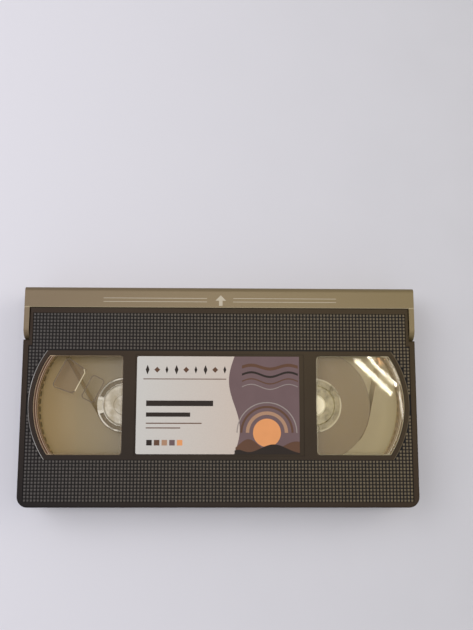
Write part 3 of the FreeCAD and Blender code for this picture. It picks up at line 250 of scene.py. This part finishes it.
def grip_material():
    """The little studs: painted shade at the foot and a painted sheen on their tops."""
    s = Shader("grip_stud_plastic")
    # Painted shade at the studs' feet and painted sheen on their tops
    lift = s.ramp(s.z, TOP - 0.26 * MM, TOP - 0.01 * MM)
    cloud = s.noise(420, 3)
    # Painted light: greyer on the left, warmer and brighter on the right
    across = s.ramp(s.x, -SIDE, SIDE)
    left = s.mix(cloud, tone(50, 47, 47), tone(78, 74, 73))
    right = s.mix(cloud, tone(78, 67, 48), tone(108, 96, 72))
    s.colour(s.mix(lift, tone(24, 21, 20), s.mix(across, left, right)))
    s.rough(cloud, 0.36, 0.56)
    s.set(IOR=1.5, Specular_IOR_Level=0.25)
    return s.material


def door_material():
    """Satin champagne with a fine metallic fleck, and the print on the lip."""
    s = Shader("door_champagne")
    fleck = s.noise(5200, 2)
    sweep = s.noise(24, 3, (0.35, 1.0, 1.0))
    across = s.ramp(s.x, -SIDE, SIDE)
    base = s.mix(sweep, s.mix(across, tone(98, 83, 62), tone(104, 90, 59)),
                 s.mix(across, tone(109, 93, 71), tone(114, 100, 66)))
    base = s.mix(s.ramp(fleck, 0.55, 0.75), base, tone(126, 113, 86))
    top = s.math("GREATER_THAN", s.z, TOP - 0.4 * MM)
    # Painted highlight along the rear edge of the lip, on its top face
    edge_line = s.math("MULTIPLY", s.within(s.y, FRONT - DOOR_LIP, FRONT - DOOR_LIP + 0.35 * MM), top)
    base = s.mix(edge_line, base, tone(150, 138, 112))
    # Arrow towards the door's front edge
    tip = FRONT - 3.8 * MM
    neck = tip - 2.7 * MM
    foot = tip - 5.2 * MM
    aside = s.math("ABSOLUTE", s.math("SUBTRACT", s.x, 0.3 * MM))
    run = s.math("SUBTRACT", tip, s.y)
    slant = s.math("LESS_THAN", aside, s.math("MULTIPLY", run, 0.95))
    head = s.math("MULTIPLY", slant, s.within(s.y, neck, tip))
    stem = s.math("MULTIPLY", s.math("LESS_THAN", aside, 0.85 * MM), s.within(s.y, foot, neck))
    print_mask = s.math("MAXIMUM", head, stem)
    # Plain rules beside it
    side = s.within(s.math("ABSOLUTE", s.x), 6.3 * MM, 56.2 * MM)
    half = 0.13 * MM
    for at in (FRONT - 5.4 * MM, FRONT - 7.1 * MM):
        rule = s.math("MULTIPLY", side, s.within(s.y, at - half, at + half))
        print_mask = s.math("MAXIMUM", print_mask, rule)
    ink = s.math("MULTIPLY", print_mask, top)
    s.colour(s.mix(ink, base, tone(156, 148, 131)))
    s.rough(fleck, 0.36, 0.52)
    s.bump(fleck, 0.12, 0.00004)
    s.set(Metallic=0.25, IOR=1.5, Specular_IOR_Level=0.4)
    return s.material


def window_material(name, centre, clear, edge_shade_inner, edge_shade_tone, edge_shade_level, edge_highlight_tone,
                    index, coat):
    """Clear moulding with faint flow marks, painted shade along its round edge and painted highlights on
    its bevel and on a thin ring inside the edge.
    """
    s = Shader(name)
    flow = s.noise(45, 3)
    # Painted highlight on the bevel of the pane's top edge
    bevel = s.math("LESS_THAN", s.slope(), 0.9)
    rim = s.math("MULTIPLY", bevel, s.math("GREATER_THAN", s.z, WINDOW_HIGH.z - 0.7 * MM))
    r = s.radius(centre, REEL_Y)
    # Painted shade in a band along the round edge, darker in the left window
    band = s.ramp(r, edge_shade_inner, edge_shade_inner + 1.0 * MM)
    # Painted highlight on a thin ring just inside the round edge
    inner_highlight = s.within(r, WINDOW_RADIUS - 1.7 * MM, WINDOW_RADIUS - 1.45 * MM)
    body = s.mix(band, s.mix(flow, clear, shade(clear, 0.86)), edge_shade_tone)
    s.colour(s.mix(s.math("MAXIMUM", rim, inner_highlight), body, edge_highlight_tone))
    level = s.math("ADD", s.math("MULTIPLY", rim, 0.3), 0.07)
    level = s.math("ADD", level, s.math("MULTIPLY", band, edge_shade_level))
    s.link(s.math("ADD", level, s.math("MULTIPLY", inner_highlight, 0.15)), s.bsdf.inputs["Alpha"])
    s.rough(flow, 0.01, 0.03)
    s.bump(s.noise(28, 1), 0.09, 0.001)
    s.set(IOR=index, Coat_Weight=coat, Coat_Roughness=0.02)
    return s.pass_light().material


def flange_material(name, centre, body, turns):
    """Clear disc over the wound tape, a little darker and less clear in its raised outer panels."""
    s = Shader(name)
    flow = s.noise(30, 3)
    dx = s.math("SUBTRACT", s.x, centre)
    dy = s.math("SUBTRACT", s.y, REEL_Y)
    panels = None
    for turn in turns:
        c, n = math.cos(math.radians(turn)), math.sin(math.radians(turn))
        along = s.math("ADD", s.math("MULTIPLY", dx, c), s.math("MULTIPLY", dy, n))
        aside = s.math("SUBTRACT", s.math("MULTIPLY", dy, c), s.math("MULTIPLY", dx, n))
        inside = s.math("MULTIPLY", s.within(along, PANEL_INNER, PANEL_OUTER),
                        s.within(aside, -PANEL_HALF, PANEL_HALF))
        panels = inside if panels is None else s.math("MAXIMUM", panels, inside)
    clear = s.mix(flow, body, shade(body, 0.86))
    if panels is None:
        s.colour(clear).set(Alpha=0.05)
    else:
        s.colour(s.mix(panels, clear, tone(104, 72, 58)))
        s.link(s.math("ADD", s.math("MULTIPLY", panels, 0.09), 0.05), s.bsdf.inputs["Alpha"])
    s.rough(flow, 0.12, 0.2)
    s.set(IOR=1.6)
    return s.pass_light().material


def supply_material():
    """Milky hub in a dark outline, over a tan lower flange."""
    s = Shader("supply_reel_milky")
    r = s.radius(-REEL_X, REEL_Y)
    cloud = s.noise(60, 3)
    mottle = s.ramp(s.noise(230, 2), 0.38, 0.62)
    dome = s.mix(mottle, tone(166, 157, 136), tone(214, 209, 196))
    collar = s.mix(cloud, tone(224, 220, 208), tone(234, 230, 220))
    hub = s.mix(s.ramp(r, CROWN_RADIUS - 0.1 * MM, CROWN_RADIUS + 0.1 * MM), dome, collar)
    # Painted shade in the sunk pockets of the hub ring
    pocket_shade = s.within(s.z, HUB_TOP - 1.0 * MM, HUB_TOP - 0.5 * MM)
    pocket_shade = s.math("MULTIPLY", pocket_shade, s.within(r, CROWN_RADIUS + 0.3 * MM, HUB_RADIUS - 0.3 * MM))
    hub = s.mix(pocket_shade, hub, tone(66, 52, 32))
    edge_line = s.within(r, CROWN_RADIUS - 0.05 * MM, CROWN_RADIUS + 0.35 * MM)
    hub = s.mix(s.math("MULTIPLY", edge_line, 0.8), hub, tone(96, 84, 60))
    disc = s.mix(cloud, tone(150, 132, 95), tone(158, 140, 103))
    # Painted light lifting the far left of the disc out of the shell wall's shade
    disc = s.mix(s.ramp(s.x, -REEL_X - 24 * MM, -REEL_X - 38 * MM), disc, tone(184, 156, 107))
    grey = s.mix(cloud, tone(116, 111, 98), tone(124, 119, 106))
    disc = s.mix(s.ramp(s.x, -REEL_X - 26 * MM, -REEL_X + 4 * MM), disc, grey)
    ring = s.within(r, HUB_RADIUS + 0.1 * MM, HUB_RADIUS + 1.0 * MM)
    disc = s.mix(ring, disc, tone(50, 40, 26))
    lip = s.ramp(r, FLANGE_RADIUS - 0.9 * MM, FLANGE_RADIUS - 0.1 * MM)
    disc = s.mix(lip, disc, tone(108, 76, 54))
    s.colour(s.mix(s.ramp(r, HUB_RADIUS + 0.05 * MM, HUB_RADIUS + 0.15 * MM), hub, disc))
    s.rough(cloud, 0.28, 0.42)
    s.set(IOR=1.5)
    return s.material


def takeup_material():
    """Cream button, olive ring and a pale rim, over a yellowish lower flange."""
    s = Shader("takeup_reel_milky")
    r = s.radius(REEL_X, REEL_Y)
    cloud = s.noise(60, 3)
    streak = s.noise(260, 4)
    button = s.mix(cloud, tone(255, 244, 206), tone(255, 249, 218))
    olive = s.mix(s.ramp(streak, 0.35, 0.65), tone(114, 102, 62), tone(176, 165, 124))
    rim = s.mix(cloud, tone(190, 179, 144), tone(200, 190, 156))
    disc = s.mix(cloud, tone(203, 187, 140), tone(209, 194, 149))
    lip = s.ramp(r, FLANGE_RADIUS - 1.4 * MM, FLANGE_RADIUS - 0.9 * MM)
    disc = s.mix(lip, disc, tone(150, 128, 90))
    inner = s.mix(s.ramp(r, BUTTON_RADIUS - 0.1 * MM, BUTTON_RADIUS + 0.3 * MM), button, olive)
    hub = s.mix(s.ramp(r, HUB_RADIUS - 0.9 * MM, HUB_RADIUS - 0.6 * MM), inner, rim)
    s.colour(s.mix(s.ramp(r, HUB_RADIUS + 0.05 * MM, HUB_RADIUS + 0.15 * MM), hub, disc))
    s.rough(cloud, 0.28, 0.42)
    s.set(IOR=1.5)
    return s.material


def tape_material():
    """Film wound edge-on: fine rings round the hub."""
    s = Shader("tape_edges")
    r = s.radius(REEL_X, REEL_Y)
    rings = s.math("SINE", s.math("MULTIPLY", r, 2 * math.pi / (0.42 * MM)))
    bands = s.noise(140, 3)
    level = s.math("ADD", s.math("MULTIPLY", rings, 0.1), bands)
    body = s.mix(level, tone(104, 85, 50), tone(118, 99, 64))
    # Painted shade in a thin darker ring at the pack's outer edge
    outer = s.ramp(r, PACK_HIGH.x - REEL_X - 0.5 * MM, PACK_HIGH.x - REEL_X - 0.2 * MM)
    s.colour(s.mix(outer, body, tone(96, 78, 48)))
    s.rough(bands, 0.3, 0.5)
    s.bump(rings, 0.08, 0.00004)
    return s.material


def ribbon_material():
    """Film seen against the light: tan beside the reels, dark on its upper edge and in the front."""
    s = Shader("tape_film")
    cloud = s.noise(80, 2)
    leader = s.mix(cloud, tone(182, 152, 104), tone(190, 160, 112))
    film = s.mix(cloud, tone(186, 162, 118), tone(194, 170, 126))
    side = s.mix(s.ramp(s.x, -10 * MM, 10 * MM), leader, film)
    left = s.math("LESS_THAN", s.x, 0.0)
    upper = s.math("MULTIPLY", left, s.math("GREATER_THAN", s.z, PACK_HIGH.z - 1.0 * MM))
    side = s.mix(upper, side, tone(76, 60, 40))
    s.colour(s.mix(s.ramp(s.y, FRONT - 22 * MM, FRONT - 19 * MM), side, tone(46, 37, 28)))
    s.rough(cloud, 0.18, 0.3)
    return s.material


def paper_material():
    """Coated label paper, from pale grey at the left to a warm tint at the right."""
    s = Shader("label_paper")
    across = s.ramp(s.x, LABEL_LOW.x, 0.012)
    fibre = s.noise(1500, 4)
    pale = s.mix(across, tone(188, 187, 184), tone(188, 175, 164))
    dim = s.mix(across, tone(180, 179, 176), tone(179, 165, 154))
    s.colour(s.mix(fibre, pale, dim))
    s.rough(fibre, 0.45, 0.62)
    s.bump(fibre, 0.06, 0.00002)
    return s.material


def ink_material(name, colour):
    """Flat printing ink."""
    s = Shader(name)
    fibre = s.noise(1500, 4)
    cloud = s.noise(120, 3)
    s.colour(s.mix(cloud, colour, shade(colour, 0.82)))
    s.rough(fibre, 0.4, 0.55)
    s.bump(fibre, 0.06, 0.00002)
    s.set(Specular_IOR_Level=0.12)
    return s.material


def metal_material(name, colour, rough):
    """Plated or polished metal with fine drawn lines."""
    s = Shader(name)
    lines = s.noise(900, 2, (1.0, 1.0, 8.0))
    s.colour(s.mix(lines, colour, shade(colour, 0.8)))
    s.rough(lines, rough, rough + 0.15)
    s.bump(lines, 0.05, 0.00002)
    s.set(Metallic=1.0)
    return s.material


def plain_material(name, low, high, rough):
    """Natural moulded plastic."""
    s = Shader(name)
    cloud = s.noise(300, 3)
    s.colour(s.mix(cloud, low, high))
    s.rough(cloud, rough, rough + 0.15)
    s.bump(s.noise(2400, 2), 0.08, 0.00003)
    return s.material


def dress(material, *nodes):
    """Gives CAD nodes one material."""
    for node in nodes:
        slots = NODES[node].data.materials
        slots.clear()
        slots.append(material)


def mesh_from(name, bm):
    mesh = bpy.data.meshes.new(name)
    bm.to_mesh(mesh)
    bm.free()
    return mesh


def new_piece(name, mesh, body, materials):
    piece = bpy.data.objects.new(name, mesh)
    bpy.context.scene.collection.objects.link(piece)
    for item in materials:
        mesh.materials.append(item)
    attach(piece, body)
    return piece


def in_grip_field(x, y):
    """Whether a stud centred here stands in the grip recess."""
    keep = STUD_KEEP
    front_edge = FRONT - DOOR_LIP - GRIP_FRONT_MARGIN
    step = FRONT - ARM_LENGTH - GRIP_SIDE_MARGIN
    limit = SIDE - ARM_SPACE - GRIP_NECK_MARGIN if y > step - keep else SIDE - GRIP_SIDE_MARGIN
    if abs(x) > limit - keep or y < REAR + GRIP_REAR_MARGIN + keep or y > front_edge - keep:
        return False
    if abs(y - REEL_Y) > WINDOW_HALF + BORDER + keep:
        return True
    if abs(x) < REEL_X + BORDER + keep:
        return False
    return math.hypot(abs(x) - REEL_X, y - REEL_Y) > WINDOW_RADIUS + BORDER + STUD_CLIP


def build_grip_studs(material):
    """Rows of small blunt studs that fill the recess up to the shell's top."""
    floor = TOP - GRIP_DEPTH
    # Each ring: its lift, its half width and its half length, in millimetres
    rings = ((0.0, 0.66, 0.70), (0.17, 0.54, 0.62), (0.28, 0.38, 0.48), (0.345, 0.18, 0.30))
    bm = bmesh.new()
    columns = int(SIDE / STUD_PITCH_X) + 1
    rows = int((FRONT - REAR) / STUD_PITCH_Y) + 1
    for column in range(-columns, columns):
        x = (column + 0.5) * STUD_PITCH_X
        for row in range(rows):
            y = REAR + STUD_FIRST_ROW + row * STUD_PITCH_Y
            if not in_grip_field(x, y):
                continue
            below = None
            for lift, half_x, half_y in rings:
                ring = [bm.verts.new((x + sx * half_x * MM, y + sy * half_y * MM, floor + lift * MM))
                        for sx, sy in ((-1, -1), (1, -1), (1, 1), (-1, 1))]
                if below:
                    for i in range(4):
                        j = (i + 1) % 4
                        bm.faces.new((below[i], below[j], ring[j], ring[i]))
                below = ring
            bm.faces.new(below)
    for face in bm.faces:
        face.smooth = True
    return new_piece("grip_studs", mesh_from("grip_studs", bm), "shell", [material])


def fan(bm, points, z, thickness, material_index):
    """A thin flat shape with an upper and a lower face."""
    top = [bm.verts.new((x, y, z + thickness)) for x, y in points]
    base = [bm.verts.new((x, y, z)) for x, y in points]
    faces = [bm.faces.new(top), bm.faces.new(list(reversed(base)))]
    count = len(points)
    for i in range(count):
        j = (i + 1) % count
        faces.append(bm.faces.new((base[i], base[j], top[j], top[i])))
    for face in faces:
        face.material_index = material_index


def arc(cx, cy, radius, start, end, steps):
    turns = [math.radians(start + (end - start) * i / steps) for i in range(steps + 1)]
    return [(cx + radius * math.cos(turn), cy + radius * math.sin(turn)) for turn in turns]


def band(cx, cy, inner, outer, start, end, steps):
    back = list(reversed(arc(cx, cy, inner, start, end, steps)))
    return arc(cx, cy, outer, start, end, steps) + back


def wave(start, end, swing, turns, thick, steps=48):
    """A band that swings from side to side between two spots."""
    run = Vector((end[0] - start[0], end[1] - start[1]))
    side = Vector((-run.y, run.x)).normalized()
    lower, upper = [], []
    for i in range(steps + 1):
        t = i / steps
        offset = swing * math.sin(2 * math.pi * turns * t)
        for edge, half in ((lower, -thick / 2), (upper, thick / 2)):
            spot = Vector(start) + run * t + side * (offset + half)
            edge.append((spot.x, spot.y))
    return lower + list(reversed(upper))


def hill(left, right, base, peaks):
    """A rolling outline over a straight base: peaks are (share along, spread, height)."""
    points = [(left, base), (right, base)]
    steps = 40
    for i in range(steps + 1):
        t = 1 - i / steps
        rise = sum(h * math.exp(-((t - at) / wide) ** 2) for at, wide, h in peaks)
        points.append((left + (right - left) * t, base + max(rise, 0.1 * MM)))
    return points


def build_label_print(inks):
    """The printed label: a mauve field with a low sun, ornaments and rules in the label's colours."""
    bm = bmesh.new()
    left, right = LABEL_LOW.x, LABEL_HIGH.x
    low, high = LABEL_LOW.y, LABEL_HIGH.y
    wide = right - left
    layer = 0.012 * MM
    z = LABEL_HIGH.z + 0.004 * MM
    mauve, brown, orange, dark, tan, grey = range(6)
    picture = z + 2 * layer
    # The field, with a curved edge towards the paper
    panel = left + 0.6 * wide
    steps = 32
    edge = [(panel + 2.6 * MM * math.sin(2 * math.pi * i / steps), low + (high - low) * i / steps)
            for i in range(steps + 1)]
    fan(bm, edge + [(right, high), (right, low)], z, layer, mauve)
    # A low sun inside three arches: their inner and outer radius, and their ink
    sun_x, sun_y = left + 0.8 * wide, low + 10 * MM
    for inner, outer, ink in ((8.4, 10.0, tan), (11.6, 12.6, brown), (13.9, 14.4, grey)):
        arch = band(sun_x, sun_y, inner * MM, outer * MM, 0, 180, 48)
        fan(bm, arch, picture, layer, ink)
    fan(bm, arc(sun_x, sun_y, 6.6 * MM, 0, 354, 60), picture, layer, orange)
    # Waves: how far down, how thick, how wide a swing, and their ink
    inset = panel + 3.6 * MM
    for drop, thick, swing, ink in ((5.0, 1.5, 0.9, brown), (8.6, 1.0, 1.1, dark),
                                    (11.8, 0.6, 1.2, brown), (14.4, 0.4, 1.2, grey)):
        y = high - drop * MM
        ripple = wave((inset, y), (right - 0.6 * MM, y), swing * MM, 1.5, thick * MM)
        fan(bm, ripple, picture, layer, ink)
    # Hills: where they start, their layer, their peaks and their ink
    for start, level, peaks, ink in (
            (0.6, 4, ((0.2, 0.22, 7 * MM), (0.95, 0.3, 6 * MM)), brown),
            (0.2, 6, ((0.05, 0.12, 2 * MM), (0.6, 0.28, 4.6 * MM)), dark)):
        fan(bm, hill(panel + start * MM, right, low, peaks), z + level * layer, layer, ink)
    # Ornaments along the top of the paper, over a rule
    for i in range(9):
        x, y = left + (5.0 + 4.6 * i) * MM, high - 6.4 * MM
        tall = (2.3, 1.4, 1.8)[i % 3] * MM
        half = (0.9, 1.4, 0.7)[i % 3] * MM
        diamond = [(x - half, y), (x, y - tall), (x + half, y), (x, y + tall)]
        fan(bm, diamond, z, layer, dark if i % 3 != 1 else brown)
    # Plain bars and rules: start and end as shares of the width, drop, thickness and ink
    for start, end, drop, tall, ink in ((0.04, 0.55, 10.6, 0.4, brown), (0.06, 0.47, 21.0, 2.6, dark),
                                        (0.06, 0.33, 26.6, 2.0, dark), (0.06, 0.40, 31.4, 0.5, brown),
                                        (0.06, 0.27, 33.6, 0.5, brown)):
        x0, x1 = left + start * wide, left + end * wide
        y1 = high - drop * MM
        fan(bm, [(x0, y1 - tall * MM), (x1, y1 - tall * MM), (x1, y1), (x0, y1)], z, layer, ink)
    for i, ink in enumerate((dark, brown, tan, mauve, orange)):
        x, y, size = left + (5.0 + 3.6 * i) * MM, low + 4.0 * MM, 2.6 * MM
        fan(bm, [(x, y), (x + size, y), (x + size, y + size), (x, y + size)], z, layer, ink)
    return new_piece("label_print", mesh_from("label_print", bm), "shell", inks)


def turned_spot(radius, aside, angle):
    """A spot on the supply reel, out along an angle in degrees and aside from it."""
    c, s = math.cos(math.radians(angle)), math.sin(math.radians(angle))
    return (-REEL_X + radius * c - aside * s, REEL_Y + radius * s + aside * c)


def strip(bm, first, second, half, z, thickness, material_index):
    """A thin flat line between two spots."""
    run = Vector((second[0] - first[0], second[1] - first[1]))
    side = Vector((-run.y, run.x)).normalized() * half
    fan(bm, [(first[0] - side.x, first[1] - side.y), (second[0] - side.x, second[1] - side.y),
             (second[0] + side.x, second[1] + side.y), (first[0] + side.x, first[1] + side.y)],
        z, thickness, material_index)


def build_panel_edges(dark, pale):
    """The outlines of the raised panels in the supply reel's clear flange, as painted shade with a
    painted highlight on the lit side.
    """
    bm = bmesh.new()
    z = FLANGE_HIGH.z + 0.01 * MM
    # Outer and inner panel: the cut at each corner, then the corners as radius and distance aside
    shapes = ((1.3, ((35.0, 7.8), (24.0, 6.25), (24.0, -6.25), (35.0, -7.8))),
              (0.9, ((20.0, 6.0), (13.6, 6.0), (13.6, -6.0), (20.0, -6.0))))
    for turn in PANEL_TURNS:
        for number, (cut, shape) in enumerate(shapes):
            if number == 1 and turn == PANEL_TURNS[1]:
                continue
            corners = []
            for i, (radius, aside) in enumerate(shape):
                for other in (shape[i - 1], shape[(i + 1) % 4]):
                    run = Vector((other[0] - radius, other[1] - aside))
                    share = cut / run.length
                    reach, off = radius + run.x * share, aside + run.y * share
                    corners.append(turned_spot(reach * MM, off * MM, turn))
            for i in range(len(corners)):
                lit = number == 0 and i in (3, 4)
                spots = corners[i], corners[(i + 1) % len(corners)]
                strip(bm, *spots, (0.2 if lit else 0.26) * MM, z, 0.03 * MM, 1 if lit else 0)
    return new_piece("panel_edges", mesh_from("panel_edges", bm), "supply", [dark, pale])


def build_stage():
    """A pale floor with painted shade, darker towards the right."""
    mesh = bpy.data.meshes.new("floor")
    half = 3.0
    corners = [(-half, -half, 0), (half, -half, 0), (half, half, 0), (-half, half, 0)]
    mesh.from_pydata(corners, [], [(0, 1, 2, 3)])
    floor = bpy.data.objects.new("floor", mesh)
    bpy.context.scene.collection.objects.link(floor)
    s = Shader("floor_pale")
    speck = s.noise(30, 2)
    # Painted shade: the floor grows darker towards the right
    pale = s.mix(s.ramp(s.x, -0.16, 0.16), tone(220, 220, 230), tone(190, 191, 197))
    s.colour(s.mix(s.math("MULTIPLY", speck, 0.25), pale, tone(214, 214, 222)))
    s.set(Roughness=0.9, Specular_IOR_Level=0.2)
    mesh.materials.append(s.material)
    floor.location.z = -0.0002


def add_area(name, place, target, size, power, colour):
    light = bpy.data.lights.new(name, "AREA")
    light.shape = "RECTANGLE"
    light.size, light.size_y = size
    light.energy = power
    light.color = colour
    lamp = bpy.data.objects.new(name, light)
    bpy.context.scene.collection.objects.link(lamp)
    lamp.location = place
    lamp.rotation_euler = (Vector(target) - Vector(place)).to_track_quat("-Z", "Y").to_euler()
    return lamp


def build_lights():
    world = bpy.data.worlds.new("studio")
    bpy.context.scene.world = world
    world.use_nodes = True
    tree = world.node_tree
    lit = tree.nodes["Background"]
    lit.inputs["Color"].default_value = (0.94, 0.95, 1.0, 1.0)
    lit.inputs["Strength"].default_value = 0.40
    seen = tree.nodes.new("ShaderNodeBackground")
    seen.inputs["Color"].default_value = (0.72, 0.72, 0.77, 1.0)
    seen.inputs["Strength"].default_value = 1.0
    path = tree.nodes.new("ShaderNodeLightPath")
    straight = path.outputs["Is Camera Ray"]
    for kind in ("Is Glossy Ray", "Is Transmission Ray"):
        both = tree.nodes.new("ShaderNodeMath")
        both.operation = "MAXIMUM"
        tree.links.new(straight, both.inputs[0])
        tree.links.new(path.outputs[kind], both.inputs[1])
        straight = both.outputs[0]
    blend = tree.nodes.new("ShaderNodeMixShader")
    tree.links.new(straight, blend.inputs[0])
    tree.links.new(lit.outputs[0], blend.inputs[1])
    tree.links.new(seen.outputs[0], blend.inputs[2])
    tree.links.new(blend.outputs[0], tree.nodes["World Output"].inputs["Surface"])
    height = 1.05
    add_area("key", (-0.75, 0.35, height), (0, 0, 0), (0.9, 0.9), 6.0, (1.0, 0.98, 0.98))
    add_area("fill", (0.85, 0.25, 0.75), (0, 0, 0), (0.7, 0.9), 3.4, (1.0, 0.92, 0.80))
    add_area("top", (0.0, 0.03, height), (0, 0, 0), (0.26, 0.30), 3.2, (1.0, 0.96, 0.92))
    # Slim strips that glint in the right window: place, size, turn in degrees, power, colour
    for number, (x, y, size, turn, power, colour) in enumerate((
            (0.287, 0.068, (0.100, 0.010), -46, 0.26, (1.0, 0.93, 0.70)),
            (0.303, 0.079, (0.080, 0.006), -48, 0.16, (1.0, 0.93, 0.72)),
            (0.341, 0.008, (0.060, 0.003), -83, 0.006, (1.0, 0.97, 0.88)),
            (0.330, 0.075, (0.054, 0.003), -68, 0.004, (1.0, 0.95, 0.84)),
            (0.300, 0.098, (0.016, 0.007), -55, 0.014, (1.0, 0.50, 0.20)))):
        glint = add_area(f"strip_{number}", (x, y, height), (x, y, 0), size, power, colour)
        glint.rotation_euler = (0, 0, math.radians(turn))


def build_camera():
    """The photograph's view: almost straight down, leaning a little towards the door."""
    focal = 726.0
    frame_width = 473.0
    data = bpy.data.cameras.new("camera")
    data.sensor_fit = "HORIZONTAL"
    data.sensor_width = 36.0
    data.lens = focal / frame_width * data.sensor_width
    data.clip_start = 0.01
    camera = bpy.data.objects.new("camera", data)
    bpy.context.scene.collection.objects.link(camera)
    place = (1.2 * MM, -10.6 * MM, 371.7 * MM)
    roll, sway, lean = math.radians(0.127), math.radians(-1.127), math.radians(8.068)
    turn = (Matrix.Rotation(roll, 4, "Z") @ Matrix.Rotation(sway, 4, "Y")
            @ Matrix.Rotation(lean, 4, "X"))
    camera.matrix_world = Matrix.Translation(place) @ turn
    bpy.context.scene.camera = camera


bpy.context.scene.view_settings.view_transform = "Standard"
shell = shell_material()
steel = metal_material("polished_steel", (0.62, 0.62, 0.62, 1.0), 0.16)
spring = metal_material("spring_steel", (0.42, 0.42, 0.43, 1.0), 0.28)
natural = plain_material("natural_moulding", tone(205, 200, 184), tone(220, 215, 200), 0.4)
dress(shell, "lower_shell", "upper_shell")
dress(door_material(), "front_door")
clear_tint = tone(172, 148, 96)
dress(window_material("window_clear_left", -REEL_X, clear_tint, 39.3 * MM,
                      tone(92, 62, 40), 0.6, tone(190, 168, 142), 1.45, 0.2), "window_left")
dress(window_material("window_clear_right", REEL_X, clear_tint, 38.6 * MM,
                      tone(132, 106, 58), 0.42, tone(214, 204, 172), 1.8, 1.0), "window_right")
dress(flange_material("flange_clear_supply", -REEL_X, clear_tint, PANEL_TURNS), "supply_upper_flange")
dress(flange_material("flange_clear_takeup", REEL_X, clear_tint, ()), "takeup_upper_flange")
dress(supply_material(), "supply_reel")
dress(takeup_material(), "takeup_reel")
dress(natural, "supply_leader_clamp", "takeup_leader_clamp", "guide_roller", "brake_pawl_left",
      "brake_pawl_right", "brake_release_lever", "door_lock")
dress(tape_material(), "tape_pack")
dress(ribbon_material(), "tape_run")
dress(paper_material(), "face_label")
dress(steel, "guide_post_left", "guide_post_right", "guide_roller_pin", "shell_screws")
dress(spring, "reel_spring", "door_spring", "door_lock_spring", "brake_spring_left", "brake_spring_right")
dress(plain_material("flap_film", tone(120, 92, 52), tone(140, 108, 62), 0.2), "tape_pressure_flap")
build_grip_studs(grip_material())
build_panel_edges(plain_material("panel_edge_painted_shade", tone(70, 52, 32), tone(84, 64, 42), 0.3),
                  plain_material("panel_edge_painted_highlight", tone(214, 202, 168), tone(226, 216, 186), 0.3))
build_label_print([
    ink_material("ink_mauve", tone(106, 86, 88)), ink_material("ink_brown", tone(92, 64, 48)),
    ink_material("ink_orange", tone(222, 152, 98)), ink_material("ink_dark", tone(36, 27, 22)),
    ink_material("ink_tan", tone(168, 132, 106)), ink_material("ink_grey", tone(146, 136, 132)),
])
build_stage()
build_lights()
build_camera()
